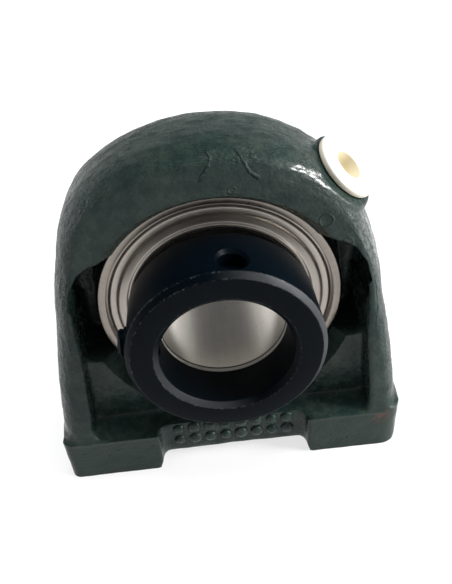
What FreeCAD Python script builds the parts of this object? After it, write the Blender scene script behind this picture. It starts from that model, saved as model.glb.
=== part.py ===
"""Pillow block bearing unit, short tapped-base pattern, for a 25 mm shaft.

The housing stands on its two feet at z = 0, midway between its tapped holes. The shaft runs
along Y and leaves at the front, which is -Y. All sizes are in millimetres and degrees.
"""

import FreeCAD, Part
import math
import os

import Sketcher

# Driving sizes, each named once. They become the cells of the sheet.
SIZES = {
    # Housing, outside
    "centre_height": 36.5,
    "base_length": 76.0,
    "base_width": 38.0,
    "foot_height": 11.0,
    "foot_lip": 0.8,
    "arch_wall": 8.6,
    "foot_step": 0.7,
    "shoulder_rise": 14.5,
    "shoulder_bend": 40.0,
    "arch_round": 4.2,
    "foot_round": 1.5,
    # Housing, recesses
    "recess_height": 3.5,
    "recess_length": 32.4,
    "recess_draft": 1.4,
    "apron_setback": 3.5,
    "apron_corner": 2.5,
    "side_wall": 7.6,
    "pocket_corner": 2.5,
    # Bearing seat and its mouths
    "seat_clearance": 0.05,
    "seat_margin": 0.7,
    "mouth_step": 0.8,
    "mouth_depth": 3.3,
    # Loading slots, seen from the front
    "slot_bite": 2.8,
    "slot_low": 8.4,
    "slot_high": 6.0,
    "slot_crown": 15.1,
    "slot_crown_inset": 4.0,
    "slot_inner_inset": 9.0,
    "slot_past_centre": 0.5,
    "slot_corner": 2.0,
    # Tapped holes in the feet
    "bolt_spacing": 50.8,
    "bolt_hole_radius": 5.0,
    "bolt_hole_depth": 15.0,
    # Lubrication hole and its plug
    "plug_angle": 45.0,
    "plug_steepness": 48.5,
    "plug_lean": 18.0,
    "plug_forward": 2.4,
    "drill_start": 4.0,
    "oil_hole_radius": 2.0,
    "oil_hole_depth": 10.1,
    "plug_hole_radius": 4.8,
    "plug_hole_depth": 6.0,
    "spot_radius": 7.4,
    "spot_rise": 0.55,
    "plug_stem_clearance": 0.2,
    "plug_stem_gap": 0.7,
    "plug_tip_taper": 0.2,
    "plug_tip_length": 0.8,
    "plug_flange_gap": 0.55,
    "plug_flange_round": 0.2,
    "plug_flange_thickness": 1.7,
    "plug_stand_off": 0.3,
    "plug_recess_radius": 3.0,
    "plug_recess_depth": 4.2,
    # Insert bearing
    "bore_radius": 12.5,
    "bore_chamfer": 0.6,
    "pitch_rise": 7.0,
    "ball_radius": 3.969,
    "ball_clearance": 0.03,
    "race_slack": 0.161,
    "outer_land_rise": 2.6,
    "outer_ring_rise": 6.5,
    "inner_land_drop": 2.5,
    "inner_front_stand": 6.4,
    "oil_groove_offset": 2.6,
    "oil_groove_width": 3.2,
    "oil_groove_depth": 0.6,
    "oil_feed_radius": 0.7,
    "oil_feed_offset": 3.9,
    # Eccentric cam and locking collar
    "cam_wall": 2.7,
    "cam_offset": 0.8,
    "cam_length": 4.0,
    "cam_clearance": 0.08,
    "collar_gap": 0.05,
    "collar_wall": 3.55,
    "collar_front_stand": 9.5,
    "collar_bore_slack": 0.1,
    "collar_chamfer": 1.0,
    "drift_angle": 82.5,
    "drift_radius": 2.6,
    "drift_depth": 3.2,
    "screw_angle": 172.5,
    "screw_radius": 2.95,
    "screw_clearance": 0.05,
    "screw_length": 6.0,
    "screw_proud": 1.3,
    "screw_socket_radius": 1.6,
    "screw_socket_depth": 2.6,
    "screw_chamfer": 0.5,
    # Shields and seals
    "shield_sheet": 0.5,
    "shield_seat_rise": 1.3,
    "shield_snap": 0.2,
    "shield_gap": 1.2,
    "shield_slack": 0.05,
    "shield_rim_depth": 0.85,
    "shield_ridge_depth": 0.3,
    "shield_flat_depth": 0.62,
    "seal_thickness": 0.7,
    "seal_inset": 0.7,
    "seal_lip_gap": 0.05,
    "seal_root_depth": 1.55,
    # Cage
    "cage_inner_drop": 1.0,
    "cage_outer_rise": 1.2,
    "cage_side_room": 0.481,
    "cage_sheet": 0.6,
    "cage_pocket_gap": 0.15,
    "rivet_radius": 0.5,
    "rivet_head_radius": 0.85,
    "rivet_head_height": 0.35,
}

EDGE_MATCH = 0.02  # how near an edge's middle lies to the place it is looked for
BALL_COUNT = 9
BALL_PITCH = 360.0 / BALL_COUNT

doc = FreeCAD.newDocument("PillowBlock")
sheet = doc.addObject("Spreadsheet::Sheet", "Sizes")
for row, (alias, number) in enumerate(SIZES.items(), start=1):
    sheet.set(f"A{row}", str(number))
    sheet.setAlias(f"A{row}", alias)
doc.recompute()


class Size:
    """A size that carries its number and the sheet formula that it comes from."""

    def __init__(self, number, formula):
        self.number = number
        self.formula = formula

    def _join(self, other, sign, number):
        return Size(number, f"({self.formula} {sign} {plain(other).formula})")

    def __add__(self, other):
        return self._join(other, "+", self.number + plain(other).number)

    def __sub__(self, other):
        return self._join(other, "-", self.number - plain(other).number)

    def __mul__(self, other):
        return self._join(other, "*", self.number * plain(other).number)

    def __truediv__(self, other):
        return self._join(other, "/", self.number / plain(other).number)

    def __neg__(self):
        return Size(-self.number, f"(-1 * {self.formula})")


def plain(value):
    """Wrap a bare number, such as 2 or 0, as a Size."""
    return value if isinstance(value, Size) else Size(float(value), str(float(value)))


def size(alias):
    """The size that a cell of the sheet holds."""
    return Size(float(sheet.get(alias)), f"Sizes.{alias}")


def root(value):
    """Square root of a size."""
    return Size(math.sqrt(value.number), f"sqrt({value.formula})")


def cosine(angle):
    """Cosine of a size in degrees."""
    return Size(math.cos(math.radians(angle.number)), f"cos({angle.formula} * 1 deg)")


def sine(angle):
    """Sine of a size in degrees."""
    return Size(math.sin(math.radians(angle.number)), f"sin({angle.formula} * 1 deg)")


def arc_cosine(value):
    """Angle in degrees whose cosine is a size."""
    return Size(math.degrees(math.acos(value.number)), f"acos({value.formula})")


ZERO = plain(0.0)
PAST = plain(1.0)  # how far a cutter runs past what it cuts

# Radii of the insert, each from the one inside it
PITCH = size("bore_radius") + size("pitch_rise")
INNER_LAND = PITCH - size("inner_land_drop")
OUTER_LAND = PITCH + size("outer_land_rise")
RACE = size("ball_radius") + size("race_slack")
SEAT = PITCH + size("outer_ring_rise")
SHIELD_SEAT = OUTER_LAND + size("shield_seat_rise")
SHIELD_BORE = INNER_LAND + size("shield_gap")
CAM = size("bore_radius") + size("cam_wall")
COLLAR = CAM + size("collar_wall")

# Reaches along the shaft from the middle of the bearing
POCKET = size("ball_radius") + size("cage_pocket_gap")
SEAL_BACK = POCKET + size("cage_sheet") + size("cage_side_room")
SEAL_FRONT = SEAL_BACK + size("seal_thickness")
HALF_RING = SEAL_FRONT + size("seal_lip_gap") + size("seal_root_depth")
INNER_FRONT = HALF_RING + size("inner_front_stand")
COLLAR_FRONT = INNER_FRONT + size("collar_front_stand")
SEAT_EDGE = HALF_RING + size("seat_margin")
HALF_ARCH = SEAT_EDGE + size("mouth_depth")

# Housing round the insert
CENTRE = size("centre_height")
HALF_LENGTH = size("base_length") / 2
HALF_WIDTH = size("base_width") / 2
ARCH = SEAT + size("arch_wall")
MOUTH = SEAT + size("mouth_step")
SHOULDER = CENTRE + size("shoulder_rise")


def bind(target, name, value):
    """Tie one property of an object to the sheet."""
    target.setExpression(name, plain(value).formula)


def start_body(label, height=None):
    """An empty body, lifted to the shaft's height where one is given."""
    body = doc.addObject("PartDesign::Body", label)
    body.Label = label
    if height is not None:
        bind(body, "Placement.Base.z", height)
    return body


def origin_plane(body, role):
    """One of a body's own origin planes."""
    for feature in body.Origin.OriginFeatures:
        if feature.Role == role:
            return feature
    raise ValueError(role)


def start_sketch(body, name, role, offset=None):
    """A sketch on an origin plane, moved along the plane's normal by offset."""
    sketch = body.newObject("Sketcher::SketchObject", name)
    sketch.AttachmentSupport = (origin_plane(body, role), "")
    sketch.MapMode = "FlatFace"
    if offset is not None:
        bind(sketch, "AttachmentOffset.Base.z", offset)
    return sketch


def vector(point):
    """The number form of a pair of sizes."""
    return FreeCAD.Vector(plain(point[0]).number, plain(point[1]).number, 0)


def pin_point(sketch, edge, end, point):
    """Fix one end of an edge at a pair of sizes."""
    for kind, value in (("DistanceX", point[0]), ("DistanceY", point[1])):
        value = plain(value)
        if abs(value.number) < 1e-9:
            axis = -2 if kind == "DistanceX" else -1
            sketch.addConstraint(Sketcher.Constraint("PointOnObject", edge, end, axis))
            continue
        index = sketch.addConstraint(Sketcher.Constraint(kind, -1, 1, edge, end, value.number))
        bind(sketch, f"Constraints[{index}]", value)


def add_outline(sketch, points):
    """A closed outline through points. A point of three entries ends an arc: its third entry
    holds the arc's centre, its radius and its turn, 1 for counter-clockwise."""
    edges = []
    for index, point in enumerate(points):
        start = vector(points[index - 1])
        end = vector(point)
        if len(point) == 2:
            edges.append(sketch.addGeometry(Part.LineSegment(start, end), False))
            continue
        centre, radius, turn = point[2]
        middle = vector(centre)
        first, last = (start, end) if turn > 0 else (end, start)
        angles = [math.atan2(p.y - middle.y, p.x - middle.x) for p in (first, last)]
        circle = Part.Circle(middle, FreeCAD.Vector(0, 0, 1), radius.number)
        edge = sketch.addGeometry(Part.ArcOfCircle(circle, angles[0], angles[1]), False)
        index = sketch.addConstraint(Sketcher.Constraint("Radius", edge, radius.number))
        bind(sketch, f"Constraints[{index}]", radius)
        edges.append(edge)
    for index, point in enumerate(points):
        after = (index + 1) % len(points)
        here_end = 2 if len(point) == 2 or point[2][2] > 0 else 1
        next_point = points[after]
        next_start = 1 if len(next_point) == 2 or next_point[2][2] > 0 else 2
        sketch.addConstraint(Sketcher.Constraint("Coincident", edges[index], here_end,
                                                 edges[after], next_start))
    for index, point in enumerate(points):
        if len(point) == 2:
            pin_point(sketch, edges[index], 2, point)
        else:
            end = 2 if point[2][2] > 0 else 1
            pin_point(sketch, edges[index], end, (point[0], point[1]))
    return edges


def add_circle(sketch, centre, radius):
    """A full circle."""
    shape = Part.Circle(vector(centre), FreeCAD.Vector(0, 0, 1), plain(radius).number)
    edge = sketch.addGeometry(shape, False)
    pin_point(sketch, edge, 3, centre)
    index = sketch.addConstraint(Sketcher.Constraint("Radius", edge, plain(radius).number))
    bind(sketch, f"Constraints[{index}]", radius)


def add_feature(body, kind, name, sketch, **settings):
    """A sketch-based feature, with its sizes bound and its options set."""
    feature = body.newObject(f"PartDesign::{kind}", name)
    feature.Profile = sketch
    for key, value in settings.items():
        if isinstance(value, Size):
            bind(feature, key, value)
        else:
            setattr(feature, key, value)
    doc.recompute()
    return feature


def cut(body, kind, name, sketch, **settings):
    """A cutting feature that must take material away."""
    before = body.Shape.Volume
    feature = add_feature(body, kind, name, sketch, **settings)
    if body.Shape.Volume > before - 1e-3:
        raise RuntimeError(f"{name} cut nothing")
    return feature


def mirror_feature(body, name, originals, role):
    """Copies of features on the other side of an origin plane."""
    before = body.Shape.Volume
    mirror = body.newObject("PartDesign::Mirrored", name)
    mirror.Originals = originals
    mirror.MirrorPlane = (origin_plane(body, role), [""])
    body.Tip = mirror
    doc.recompute()
    if abs(body.Shape.Volume - before) < 1e-3:
        raise RuntimeError(f"{name} changed nothing")
    return mirror


def edges_where(shape, test):
    """Names of the edges whose middle point passes the test."""
    names = []
    for index, edge in enumerate(shape.Edges, start=1):
        middle = edge.valueAt((edge.FirstParameter + edge.LastParameter) / 2)
        if test(middle, edge):
            names.append(f"Edge{index}")
    return names


def round_edges(body, name, radius, test):
    """A fillet on every edge that passes the test."""
    base = body.Tip
    names = edges_where(base.Shape, test)
    if not names:
        raise RuntimeError(f"{name} found no edge")
    fillet = body.newObject("PartDesign::Fillet", name)
    fillet.Base = (base, names)
    bind(fillet, "Radius", radius)
    doc.recompute()
    if fillet.Shape.isNull() or not fillet.Shape.isValid():
        raise RuntimeError(f"{name} failed on {names}")
    return fillet


def bevel_edges(body, name, width, test):
    """A chamfer on every edge that passes the test."""
    base = body.Tip
    names = edges_where(base.Shape, test)
    chamfer = body.newObject("PartDesign::Chamfer", name)
    chamfer.Base = (base, names)
    bind(chamfer, "Size", width)
    doc.recompute()
    if chamfer.Shape.isNull() or not chamfer.Shape.isValid():
        raise RuntimeError(f"{name} failed on {names}")
    return chamfer


def revolve(body, name, outline):
    """A ring about the shaft's axis, from an outline of (radius, place along Y) points."""
    sketch = start_sketch(body, f"{name}_outline", "XY_Plane")
    add_outline(sketch, outline)
    return add_feature(body, "Revolution", name, sketch, ReferenceAxis=(sketch, ["V_Axis"]),
                       Angle=360.0)


def near(value, target):
    """Whether a coordinate lies at a size."""
    return abs(value - plain(target).number) < EDGE_MATCH


def build_housing():
    """The casting, with the machined seat, tapped holes and lubrication hole."""
    body = start_body("housing")
    foot = size("foot_height")
    wall_x = HALF_LENGTH - size("foot_step")

    # Front outline: feet, leaning side walls and the arch
    outline = start_sketch(body, "front_outline", "XZ_Plane")
    slope = math.atan2(CENTRE.number - foot.number, wall_x.number)
    reach = math.hypot(CENTRE.number - foot.number, wall_x.number)
    touch = math.acos(ARCH.number / reach) - slope
    left_touch = FreeCAD.Vector(-ARCH.number * math.cos(touch),
                                CENTRE.number + ARCH.number * math.sin(touch), 0)
    right_touch = FreeCAD.Vector(-left_touch.x, left_touch.y, 0)
    corners = ((-HALF_LENGTH, ZERO), (HALF_LENGTH, ZERO), (HALF_LENGTH, foot), (wall_x, foot))
    start = vector((-HALF_LENGTH, foot))
    left_foot = vector((-wall_x, foot))
    path = [start] + [vector(corner) for corner in corners] + [right_touch]
    for first, last in zip(path, path[1:]):
        outline.addGeometry(Part.LineSegment(first, last), False)
    circle = Part.Circle(vector((ZERO, CENTRE)), FreeCAD.Vector(0, 0, 1), ARCH.number)
    arch = outline.addGeometry(Part.ArcOfCircle(circle, touch, math.pi - touch), False)
    left_wall = outline.addGeometry(Part.LineSegment(left_touch, left_foot), False)
    left_step = outline.addGeometry(Part.LineSegment(left_foot, start), False)
    for index in range(4):
        outline.addConstraint(Sketcher.Constraint("Coincident", index, 2, index + 1, 1))
        pin_point(outline, index, 2, corners[index])
    outline.addConstraint(Sketcher.Constraint("Tangent", 4, 2, arch, 1))
    outline.addConstraint(Sketcher.Constraint("Tangent", arch, 2, left_wall, 1))
    outline.addConstraint(Sketcher.Constraint("Coincident", left_wall, 2, left_step, 1))
    outline.addConstraint(Sketcher.Constraint("Coincident", left_step, 2, 0, 1))
    pin_point(outline, arch, 3, (ZERO, CENTRE))
    index = outline.addConstraint(Sketcher.Constraint("Radius", arch, ARCH.number))
    bind(outline, f"Constraints[{index}]", ARCH)
    pin_point(outline, left_wall, 2, (-wall_x, foot))
    pin_point(outline, left_step, 2, (-HALF_LENGTH, foot))
    add_feature(body, "Pad", "blank", outline, Length=size("base_width"), SideType="Symmetric")

    # Side view: what leans back from the foot to the narrower arch
    side = start_sketch(body, "side_outline", "YZ_Plane")
    lip_y = -(HALF_WIDTH - size("foot_lip"))
    clear_y = -(HALF_WIDTH + PAST)
    top_z = CENTRE + ARCH + PAST
    lean = math.atan2(-lip_y.number - HALF_ARCH.number, SHOULDER.number - foot.number)
    bend = size("shoulder_bend")
    half_bend = bend.number * math.tan(lean / 2)
    low_bend = FreeCAD.Vector(-HALF_ARCH.number - half_bend * math.sin(lean),
                              SHOULDER.number - half_bend * math.cos(lean), 0)
    high_bend = FreeCAD.Vector(-HALF_ARCH.number, SHOULDER.number + half_bend, 0)
    lip = vector((lip_y, foot))
    top = vector((-HALF_ARCH, top_z))
    far_top = vector((clear_y, top_z))
    far_low = vector((clear_y, foot))
    lean_edge = side.addGeometry(Part.LineSegment(lip, low_bend), False)
    middle = FreeCAD.Vector(-HALF_ARCH.number - bend.number, high_bend.y, 0)
    bend_circle = Part.Circle(middle, FreeCAD.Vector(0, 0, 1), bend.number)
    bend_edge = side.addGeometry(Part.ArcOfCircle(bend_circle, -lean, 0.0), False)
    rise_edge = side.addGeometry(Part.LineSegment(high_bend, top), False)
    top_edge = side.addGeometry(Part.LineSegment(top, far_top), False)
    far_edge = side.addGeometry(Part.LineSegment(far_top, far_low), False)
    low_edge = side.addGeometry(Part.LineSegment(far_low, lip), False)
    side.addConstraint(Sketcher.Constraint("Tangent", lean_edge, 2, bend_edge, 1))
    side.addConstraint(Sketcher.Constraint("Tangent", bend_edge, 2, rise_edge, 1))
    for first, last in ((rise_edge, top_edge), (top_edge, far_edge), (far_edge, low_edge),
                        (low_edge, lean_edge)):
        side.addConstraint(Sketcher.Constraint("Coincident", first, 2, last, 1))
    index = side.addConstraint(Sketcher.Constraint("Radius", bend_edge, bend.number))
    bind(side, f"Constraints[{index}]", bend)
    side.addConstraint(Sketcher.Constraint("Vertical", rise_edge))
    pin_point(side, low_edge, 2, (lip_y, foot))
    pin_point(side, rise_edge, 2, (-HALF_ARCH, top_z))
    pin_point(side, top_edge, 2, (clear_y, top_z))
    pin_point(side, far_edge, 2, (clear_y, foot))
    index = side.addConstraint(Sketcher.Constraint("DistanceY", -1, 1, bend_edge, 3,
                                                   middle.y))
    half_turn = Size(half_bend, f"({bend.formula} * tan(atan(({(-lip_y - HALF_ARCH).formula}) / "
                                f"({(SHOULDER - foot).formula})) / 2))")
    bind(side, f"Constraints[{index}]", SHOULDER + half_turn)
    leaning = cut(body, "Pocket", "leaning_front", side, Type="ThroughAll", SideType="Symmetric")
    mirror_feature(body, "leaning_rear", [leaning], "XZ_Plane")

    # Rounded outer edges of arch and walls
    pocket_low = HALF_LENGTH - size("side_wall")
    pocket_high = ARCH - size("side_wall")
    inside = (pocket_high.number + ARCH.number) / 2

    def on_arch_edge(middle, edge):
        outside = math.hypot(middle.x, max(middle.z - CENTRE.number, 0.0))
        lengthwise = abs(middle.y) > HALF_ARCH.number / 2
        return middle.z > foot.number + PAST.number and lengthwise and outside > inside

    round_edges(body, "arch_rounding", size("arch_round"), on_arch_edge)

    # Pocket between the walls, above the ledge of the feet
    pocket = start_sketch(body, "pocket_outline", "XZ_Plane", HALF_WIDTH)
    add_outline(pocket, ((pocket_low, foot), (pocket_high, SHOULDER), (pocket_high, top_z),
                         (-pocket_high, top_z), (-pocket_high, SHOULDER), (-pocket_low, foot)))
    front_pocket = cut(body, "Pocket", "front_pocket", pocket, Length=HALF_WIDTH - HALF_ARCH)

    # Apron between the feet, set back from their fronts
    apron = start_sketch(body, "apron_outline", "XZ_Plane", HALF_WIDTH)
    apron_x = size("recess_length") / 2
    add_outline(apron, ((apron_x, -foot), (apron_x, foot + PAST), (-apron_x, foot + PAST),
                        (-apron_x, -foot)))
    front_apron = cut(body, "Pocket", "front_apron", apron, Length=size("apron_setback"))
    mirror_feature(body, "rear_recesses", [front_pocket, front_apron], "XZ_Plane")

    # Recess under the base
    recess = start_sketch(body, "recess_outline", "XZ_Plane")
    recess_high = size("recess_height")
    recess_low_x = apron_x + size("recess_draft")
    add_outline(recess, ((recess_low_x, -foot), (recess_low_x, ZERO), (apron_x, recess_high),
                         (-apron_x, recess_high), (-recess_low_x, ZERO), (-recess_low_x, -foot)))
    cut(body, "Pocket", "base_recess", recess, Type="ThroughAll", SideType="Symmetric")

    # Cast rounding inside the pockets and on the feet
    round_edges(body, "pocket_corners", size("pocket_corner"),
                lambda middle, edge: near(abs(middle.x), pocket_low)
                and near(middle.z, foot) and edge.BoundBox.XLength < EDGE_MATCH)
    round_edges(body, "foot_inner_corners", size("apron_corner"),
                lambda middle, edge: near(abs(middle.x), apron_x)
                and near(abs(middle.y), HALF_WIDTH - size("apron_setback")))
    round_edges(body, "foot_outer_corners", size("foot_round"),
                lambda middle, edge: near(abs(middle.x), HALF_LENGTH)
                and near(abs(middle.y), HALF_WIDTH) and middle.z < foot.number)

    # Spherical seat and its conical mouths, turned about the shaft's axis
    seat = start_sketch(body, "seat_outline", "XY_Plane", CENTRE)
    edge = root(SEAT * SEAT - SEAT_EDGE * SEAT_EDGE)
    end_y = HALF_WIDTH + PAST
    centre = (ZERO, ZERO)
    add_outline(seat, ((ZERO, end_y), (ZERO, -end_y), (MOUTH, -end_y), (MOUTH, -HALF_ARCH),
                       (edge, -SEAT_EDGE), (edge, SEAT_EDGE, (centre, SEAT, 1)),
                       (MOUTH, HALF_ARCH), (MOUTH, end_y)))
    cut(body, "Groove", "seat", seat, ReferenceAxis=(seat, ["V_Axis"]), Angle=360.0)

    # Loading slots at both sides, from the front to just past the centre
    slot = start_sketch(body, "slot_outline", "XZ_Plane", HALF_WIDTH)
    reach_x = SEAT + size("slot_bite")
    crown_x = SEAT - size("slot_crown_inset")
    inner_x = SEAT - size("slot_inner_inset")
    low_z = CENTRE - size("slot_low")
    high_z = CENTRE + size("slot_high")
    crown_z = CENTRE + size("slot_crown")
    add_outline(slot, ((reach_x, low_z), (reach_x, high_z), (crown_x, crown_z),
                       (inner_x, crown_z), (inner_x, low_z)))
    right_slot = cut(body, "Pocket", "right_slot", slot,
                     Length=HALF_WIDTH + size("slot_past_centre"))
    mirror_feature(body, "left_slot", [right_slot], "YZ_Plane")
    round_edges(body, "slot_corners", size("slot_corner"),
                lambda middle, edge: near(abs(middle.x), reach_x)
                and edge.BoundBox.XLength < EDGE_MATCH and edge.BoundBox.ZLength < EDGE_MATCH)

    # Tapped holes, opening at the feet
    bolts = start_sketch(body, "bolt_centres", "XY_Plane")
    for side_sign in (1, -1):
        add_circle(bolts, (size("bolt_spacing") / 2 * side_sign, ZERO),
                   size("bolt_hole_radius"))
    cut(body, "Hole", "bolt_holes", bolts, Diameter=size("bolt_hole_radius") * 2,
        Depth=size("bolt_hole_depth"), DepthType="Dimension", DrillPoint="Angled",
        HoleCutType="None", Reversed=True)

    # Lubrication hole: spot face, tapped mouth and drilled passage to the seat
    steps = (("spot_face", size("spot_radius"), -size("spot_rise")),
             ("plug_hole", size("plug_hole_radius"), size("plug_hole_depth")),
             ("oil_hole", size("oil_hole_radius"), size("oil_hole_depth")))
    for name, hole_radius, depth in steps:
        hole = body.newObject("Sketcher::SketchObject", f"{name}_outline")
        hole.AttachmentSupport = (origin_plane(body, "XY_Plane"), "")
        hole.MapMode = "FlatFace"
        lean_to_plug(hole, "AttachmentOffset", size("drill_start"))
        add_circle(hole, (ZERO, ZERO), hole_radius)
        cut(body, "Pocket", name, hole, Length=size("drill_start") + depth)
    return body


def lean_to_plug(target, name, rise):
    """Bring a placement onto the lubrication hole's axis, rise above the arch's surface. The
    axis is tipped from upright towards +X and leans towards the front."""
    angle = size("plug_angle")
    steepness = size("plug_steepness")
    lean = size("plug_lean")
    turn = FreeCAD.Rotation(0.0, 90.0 - steepness.number, lean.number)
    setattr(target, name, FreeCAD.Placement(FreeCAD.Vector(0, 0, 0), turn))
    reach = rise * cosine(lean)
    bind(target, f"{name}.Base.x", ARCH * cosine(angle) + reach * cosine(steepness))
    bind(target, f"{name}.Base.y", -size("plug_forward") - rise * sine(lean))
    bind(target, f"{name}.Base.z", CENTRE + ARCH * sine(angle) + reach * sine(steepness))
    tip_half = (plain(90.0) - steepness) / 2
    lean_half = lean / 2
    bind(target, f"{name}.Rotation.Axis.x", sine(lean_half) * cosine(tip_half))
    bind(target, f"{name}.Rotation.Axis.y", cosine(lean_half) * sine(tip_half))
    bind(target, f"{name}.Rotation.Axis.z", -(sine(lean_half) * sine(tip_half)))
    bind(target, f"{name}.Rotation.Angle", arc_cosine(cosine(lean_half) * cosine(tip_half)) * 2)


def build_plug():
    """The white transport plug: flange, blind recess and stem, turned about its own axis."""
    body = doc.addObject("PartDesign::Body", "grease_plug")
    body.Label = "grease_plug"
    seat = size("spot_rise") + size("plug_stand_off")
    lean_to_plug(body, "Placement", seat)
    stem = size("plug_hole_radius") - size("plug_stem_clearance")
    flange = size("spot_radius") - size("plug_flange_gap")
    thick = size("plug_flange_thickness")
    recess = size("plug_recess_radius")
    length = size("plug_hole_depth") + seat - size("plug_stem_gap")
    tip = stem - size("plug_tip_taper")
    tip_top = size("plug_tip_length") - length
    floor = thick - size("plug_recess_depth")
    sketch = start_sketch(body, "plug_outline", "XZ_Plane")
    add_outline(sketch, ((ZERO, -length), (tip, -length), (stem, tip_top), (stem, ZERO),
                         (flange, ZERO), (flange, thick), (recess, thick), (recess, floor),
                         (ZERO, floor)))
    add_feature(body, "Revolution", "turned_plug", sketch, ReferenceAxis=(sketch, ["V_Axis"]),
                Angle=360.0)
    round_edges(body, "flange_edges", size("plug_flange_round"),
                lambda middle, edge: near(math.hypot(middle.x, middle.y), flange)
                and middle.z > ZERO.number - EDGE_MATCH)
    return body


def build_outer_ring():
    """Outer ring: spherical outside, ball track, shield grooves and oil groove."""
    body = start_body("outer_ring", CENTRE)
    sphere = SEAT - size("seat_clearance")
    edge = root(sphere * sphere - HALF_RING * HALF_RING)
    land = OUTER_LAND
    track_centre = PITCH + size("ball_radius") + size("ball_clearance") - RACE
    track_y = root(RACE * RACE - (land - track_centre) * (land - track_centre))
    groove = SHIELD_SEAT
    face_bore = SHIELD_SEAT - size("shield_snap")
    rim_y = HALF_RING - size("shield_rim_depth")
    groove_out = rim_y + size("shield_slack")
    groove_in = rim_y - size("shield_sheet") - size("shield_slack")
    centre = (ZERO, ZERO)
    race_centre = (track_centre, ZERO)
    revolve(body, "turned_ring",
            ((edge, -HALF_RING), (edge, HALF_RING, (centre, sphere, 1)), (face_bore, HALF_RING),
             (face_bore, groove_out), (groove, groove_out), (groove, groove_in),
             (land, groove_in), (land, track_y), (land, -track_y, (race_centre, RACE, -1)),
             (land, -groove_in), (groove, -groove_in), (groove, -groove_out),
             (face_bore, -groove_out), (face_bore, -HALF_RING)))

    # Oil groove round the outside, fed through two small holes
    groove_y = size("oil_groove_offset")
    half_groove = size("oil_groove_width") / 2
    floor = sphere - size("oil_groove_depth")
    sketch = start_sketch(body, "oil_groove_outline", "XY_Plane")
    outside = sphere + PAST
    add_outline(sketch, ((floor, groove_y - half_groove), (outside, groove_y - half_groove),
                         (outside, groove_y + half_groove), (floor, groove_y + half_groove)))
    cut(body, "Groove", "oil_groove", sketch, ReferenceAxis=(sketch, ["V_Axis"]), Angle=360.0)
    feed = start_sketch(body, "oil_feed_outline", "XY_Plane")
    add_circle(feed, (ZERO, size("oil_feed_offset")), size("oil_feed_radius"))
    cut(body, "Pocket", "oil_feeds", feed, Type="ThroughAll", SideType="Symmetric")
    return body


def build_inner_ring():
    """Inner ring: ground bore, ball track, lands and the eccentric cam at its front."""
    body = start_body("inner_ring", CENTRE)
    bore = size("bore_radius")
    land = INNER_LAND
    track_centre = PITCH - size("ball_radius") - size("ball_clearance") + RACE
    track_y = root(RACE * RACE - (track_centre - land) * (track_centre - land))
    chamfer = size("bore_chamfer")
    rear = HALF_RING
    cam_rear = size("cam_length") - INNER_FRONT
    race_centre = (track_centre, ZERO)
    revolve(body, "turned_ring",
            ((bore, cam_rear), (land, cam_rear), (land, -track_y),
             (land, track_y, (race_centre, RACE, -1)), (land, rear - chamfer),
             (land - chamfer, rear), (bore + chamfer, rear), (bore, rear - chamfer)))
    cam = start_sketch(body, "cam_outline", "XZ_Plane", -cam_rear)
    add_circle(cam, (ZERO, size("cam_offset")), CAM)
    add_feature(body, "Pad", "cam", cam, Length=size("cam_length"))
    bore_sketch = start_sketch(body, "bore_outline", "XZ_Plane")
    add_circle(bore_sketch, (ZERO, ZERO), bore)
    cut(body, "Pocket", "bore", bore_sketch, Type="ThroughAll", SideType="Symmetric")
    bevel_edges(body, "front_chamfer", chamfer,
                lambda middle, edge: near(middle.y, -INNER_FRONT)
                and near(math.hypot(middle.x, middle.z), bore))
    return body


def build_collar():
    """Eccentric locking collar, with its counterbore, drift hole and tapped screw hole."""
    body = start_body("eccentric_collar", CENTRE)
    outer = COLLAR
    bore = size("bore_radius") + size("collar_bore_slack")
    chamfer = size("collar_chamfer")
    front = -COLLAR_FRONT
    rear = size("cam_length") - INNER_FRONT - size("collar_gap")
    revolve(body, "turned_collar",
            ((bore, rear), (bore, front + chamfer), (bore + chamfer, front),
             (outer - chamfer, front), (outer, front + chamfer), (outer, rear - chamfer / 2),
             (outer - chamfer / 2, rear)))
    pit = start_sketch(body, "counterbore_outline", "XZ_Plane", -rear)
    add_circle(pit, (ZERO, size("cam_offset")), CAM + size("cam_clearance"))
    cut(body, "Pocket", "counterbore", pit, Length=size("cam_length") + size("collar_gap"),
        Reversed=True)

    # Radial holes in the solid front part of the collar
    middle_y = -(COLLAR_FRONT + INNER_FRONT) / 2
    holes = (("drift_hole", size("drift_angle"), size("drift_radius"), size("drift_depth")),
             ("screw_hole", size("screw_angle"), size("screw_radius") + size("screw_clearance"),
              outer - bore + PAST))
    for name, angle, radius, depth in holes:
        tilt = FreeCAD.Rotation(FreeCAD.Vector(0, 1, 0), 90.0 - angle.number)
        sketch = body.newObject("Sketcher::SketchObject", f"{name}_outline")
        sketch.AttachmentSupport = (origin_plane(body, "XY_Plane"), "")
        sketch.MapMode = "FlatFace"
        sketch.AttachmentOffset = FreeCAD.Placement(FreeCAD.Vector(0, 0, 0), tilt)
        bind(sketch, "AttachmentOffset.Base.x", outer * cosine(angle))
        bind(sketch, "AttachmentOffset.Base.z", outer * sine(angle))
        bind(sketch, "AttachmentOffset.Rotation.Angle", plain(90.0) - angle)
        add_circle(sketch, (ZERO, middle_y), radius)
        cut(body, "Pocket", name, sketch, Length=depth)
    return body


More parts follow.
